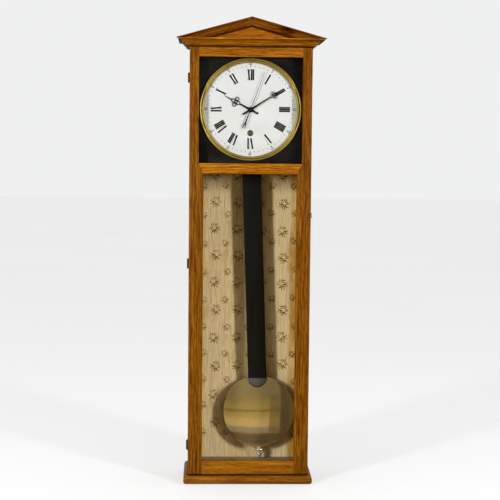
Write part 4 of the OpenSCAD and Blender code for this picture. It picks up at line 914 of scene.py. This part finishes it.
wire(tree, wave_relief, "Normal", mirror, "Normal")
wire(tree, slant, "Facing", steep, 0)
wire(tree, steep, 0, share, "Value")
wire(tree, share, "Result", either, 0)
wire(tree, clear, "BSDF", either, 1)
wire(tree, mirror, "BSDF", either, 2)
wire(tree, either, "Shader", tree.nodes["Material Output"], "Surface")
dress(pane_glass, "upper_glass", "lower_glass")

# Door hardware: three steel butt hinges on the left and a hook on the right that drops over a
# pin, all browned and dull.
browned_steel = forged("browned_steel", (0.026, 0.011, 0.004, 1), (0.066, 0.031, 0.012, 1), 0.70, 0.0,
                       0.0001)
hinge_edge = 0.0002
finished("hinge_frame_leaves", "hinges_case_side", hinge_edge, "case", "dark_metal", browned_steel)
finished("door_hardware", "hinges_door_side", hinge_edge, "door", "dark_metal", browned_steel)
finished("latch_hook", "latch_hook_forged", filed_edge, "hook", "dark_metal", browned_steel)
finished("hook_screw", "hook_screw_turned", hinge_edge, "case", "dark_metal", browned_steel)

# Studio: a plain pale floor, two soft lamps in front at either side and a white room. The brass
# mirrors the darker side behind the camera, and bands of light on the floor that the camera
# itself doesn't see.
floor_size = 40
floor_drop = 0.0005
lamp_distance = 4.2
lamp_rise = 0.80
lamp_width = 0.45
lamp_height = 1.1
lamp_aim = Vector((0, 0, 0.85))
bands_start = -3.0
shade_starts = 0.072
shade_full = 0.084
shade_skew = 0.17
dark_until = -0.95
white_from = -0.35
bpy.ops.object.select_all(action="DESELECT")
bpy.ops.mesh.primitive_plane_add(size=floor_size, location=(0, 0, -floor_drop))
floor = bpy.context.object
floor.name = "studio_floor"
floor_paint, tree, shader = new_material("pale_floor")
floor_dust = add(tree, "ShaderNodeTexNoise", {"Scale": 0.7, "Detail": 4})
floor_tint = ramp(tree, floor_dust, "Fac", [(0.3, (0.44, 0.44, 0.44, 1)), (0.7, (0.46, 0.46, 0.46, 1))])
floor_place = add(tree, "ShaderNodeTexCoord")
wire(tree, floor_place, "Object", floor_dust, "Vector")
floor_ray = add(tree, "ShaderNodeLightPath")
floor_colour = mixed(tree, (floor_ray, "Is Camera Ray"), (0.04, 0.04, 0.04, 1), (floor_tint, "Color"))
wire(tree, floor_colour, 2, shader, "Base Color")
shader.inputs["Roughness"].default_value = 0.6
shader.inputs["Specular IOR Level"].default_value = 0.1
floor_split = add(tree, "ShaderNodeSeparateXYZ")
wire(tree, floor_place, "Object", floor_split, "Vector")
floor_reach = add(tree, "ShaderNodeMapRange", {"From Min": bands_start, "From Max": 0.0})
wire(tree, floor_split, "Y", floor_reach, "Value")
floor_lit = ramp(tree, floor_reach, "Result", [
    (0.0, (0.20, 0.16, 0.05, 1)), (0.55, (0.34, 0.25, 0.06, 1)), (0.64, (0.38, 0.29, 0.05, 1)),
    (0.65, (0.0, 0.0, 0.0, 1)), (0.685, (0.02, 0.02, 0.0, 1)), (0.70, (0.38, 0.28, 0.0, 1)),
    (0.77, (0.48, 0.36, 0.08, 1)), (0.83, (0.66, 0.56, 0.36, 1)), (0.885, (0.66, 0.56, 0.42, 1)),
    (0.895, (0.26, 0.25, 0.36, 1))])
floor_edge = add(tree, "ShaderNodeMath", {1: shade_skew}, operation="MULTIPLY")
wire(tree, floor_split, "Y", floor_edge, 0)
floor_slant = add(tree, "ShaderNodeMath", operation="ADD")
wire(tree, floor_split, "X", floor_slant, 0)
wire(tree, floor_edge, 0, floor_slant, 1)
floor_side = add(tree, "ShaderNodeMapRange", {"From Min": shade_starts, "From Max": shade_full})
wire(tree, floor_slant, 0, floor_side, "Value")
floor_dim = mixed(tree, 1.0, (floor_lit, "Color"), (0.36, 0.30, 0.14, 1), "MULTIPLY")
floor_glints = mixed(tree, (floor_side, "Result"), (floor_lit, "Color"), (floor_dim, 2))
floor_glow = mixed(tree, (floor_ray, "Is Camera Ray"), (floor_glints, 2), (0.49, 0.49, 0.49, 1))
wire(tree, floor_glow, 2, shader, "Emission Color")
shader.inputs["Emission Strength"].default_value = 1.0
floor.data.materials.append(floor_paint)

for name, angle, power in (("lamp_right", 41.5, 113), ("lamp_left", -41.5, 121)):
    lamp = bpy.data.lights.new(name, "AREA")
    lamp.shape = "RECTANGLE"
    lamp.size = lamp_width
    lamp.size_y = lamp_height
    lamp.energy = power
    stand = linked(name, lamp)
    away = math.radians(angle)
    stand.location = lamp_aim + Vector((lamp_distance * math.sin(away), -lamp_distance * math.cos(away),
                                        lamp_rise))
    stand.rotation_euler = (lamp_aim - stand.location).to_track_quat("-Z", "Y").to_euler()

world = bpy.data.worlds.new("studio")
bpy.context.scene.world = world
world.use_nodes = True
tree = world.node_tree
sky = tree.nodes["Background"]
heading = add(tree, "ShaderNodeTexCoord")
split = add(tree, "ShaderNodeSeparateXYZ")
wire(tree, heading, "Generated", split, "Vector")
front = add(tree, "ShaderNodeMapRange", {"From Min": dark_until, "From Max": white_from})
wire(tree, split, "Y", front, "Value")
room = ramp(tree, front, "Result", [(0.0, (0.22, 0.205, 0.17, 1)), (1.0, (0.75, 0.75, 0.75, 1))])
ray = add(tree, "ShaderNodeLightPath")
seen = mixed(tree, (ray, "Is Camera Ray"), (room, "Color"), (0.865, 0.87, 0.87, 1))
wire(tree, seen, 2, sky, "Color")
bpy.context.scene.view_settings.view_transform = "Standard"

# Camera: a little left of the clock's middle and four metres in front, at chest height, pitched
# down slightly and rolled by half a degree, as in the photograph.
camera_place = Vector((-0.1345, -4.0671, 1.0623))
camera_yaw = math.radians(1.945)
camera_pitch = math.radians(4.793)
camera_roll = math.radians(0.525)
forward = Vector((math.sin(camera_yaw) * math.cos(camera_pitch),
                  math.cos(camera_yaw) * math.cos(camera_pitch), -math.sin(camera_pitch)))
right = Vector((math.cos(camera_yaw), -math.sin(camera_yaw), 0))
upward = right.cross(forward)
rolled_right = right * math.cos(camera_roll) + upward * math.sin(camera_roll)
rolled_up = upward * math.cos(camera_roll) - right * math.sin(camera_roll)
camera = linked("camera", bpy.data.cameras.new("camera"))
camera.data.lens = 94.49
camera.data.sensor_width = 36
camera.matrix_world = Matrix((
    (rolled_right.x, rolled_up.x, -forward.x, camera_place.x),
    (rolled_right.y, rolled_up.y, -forward.y, camera_place.y),
    (rolled_right.z, rolled_up.z, -forward.z, camera_place.z),
    (0, 0, 0, 1)))
bpy.context.scene.camera = camera
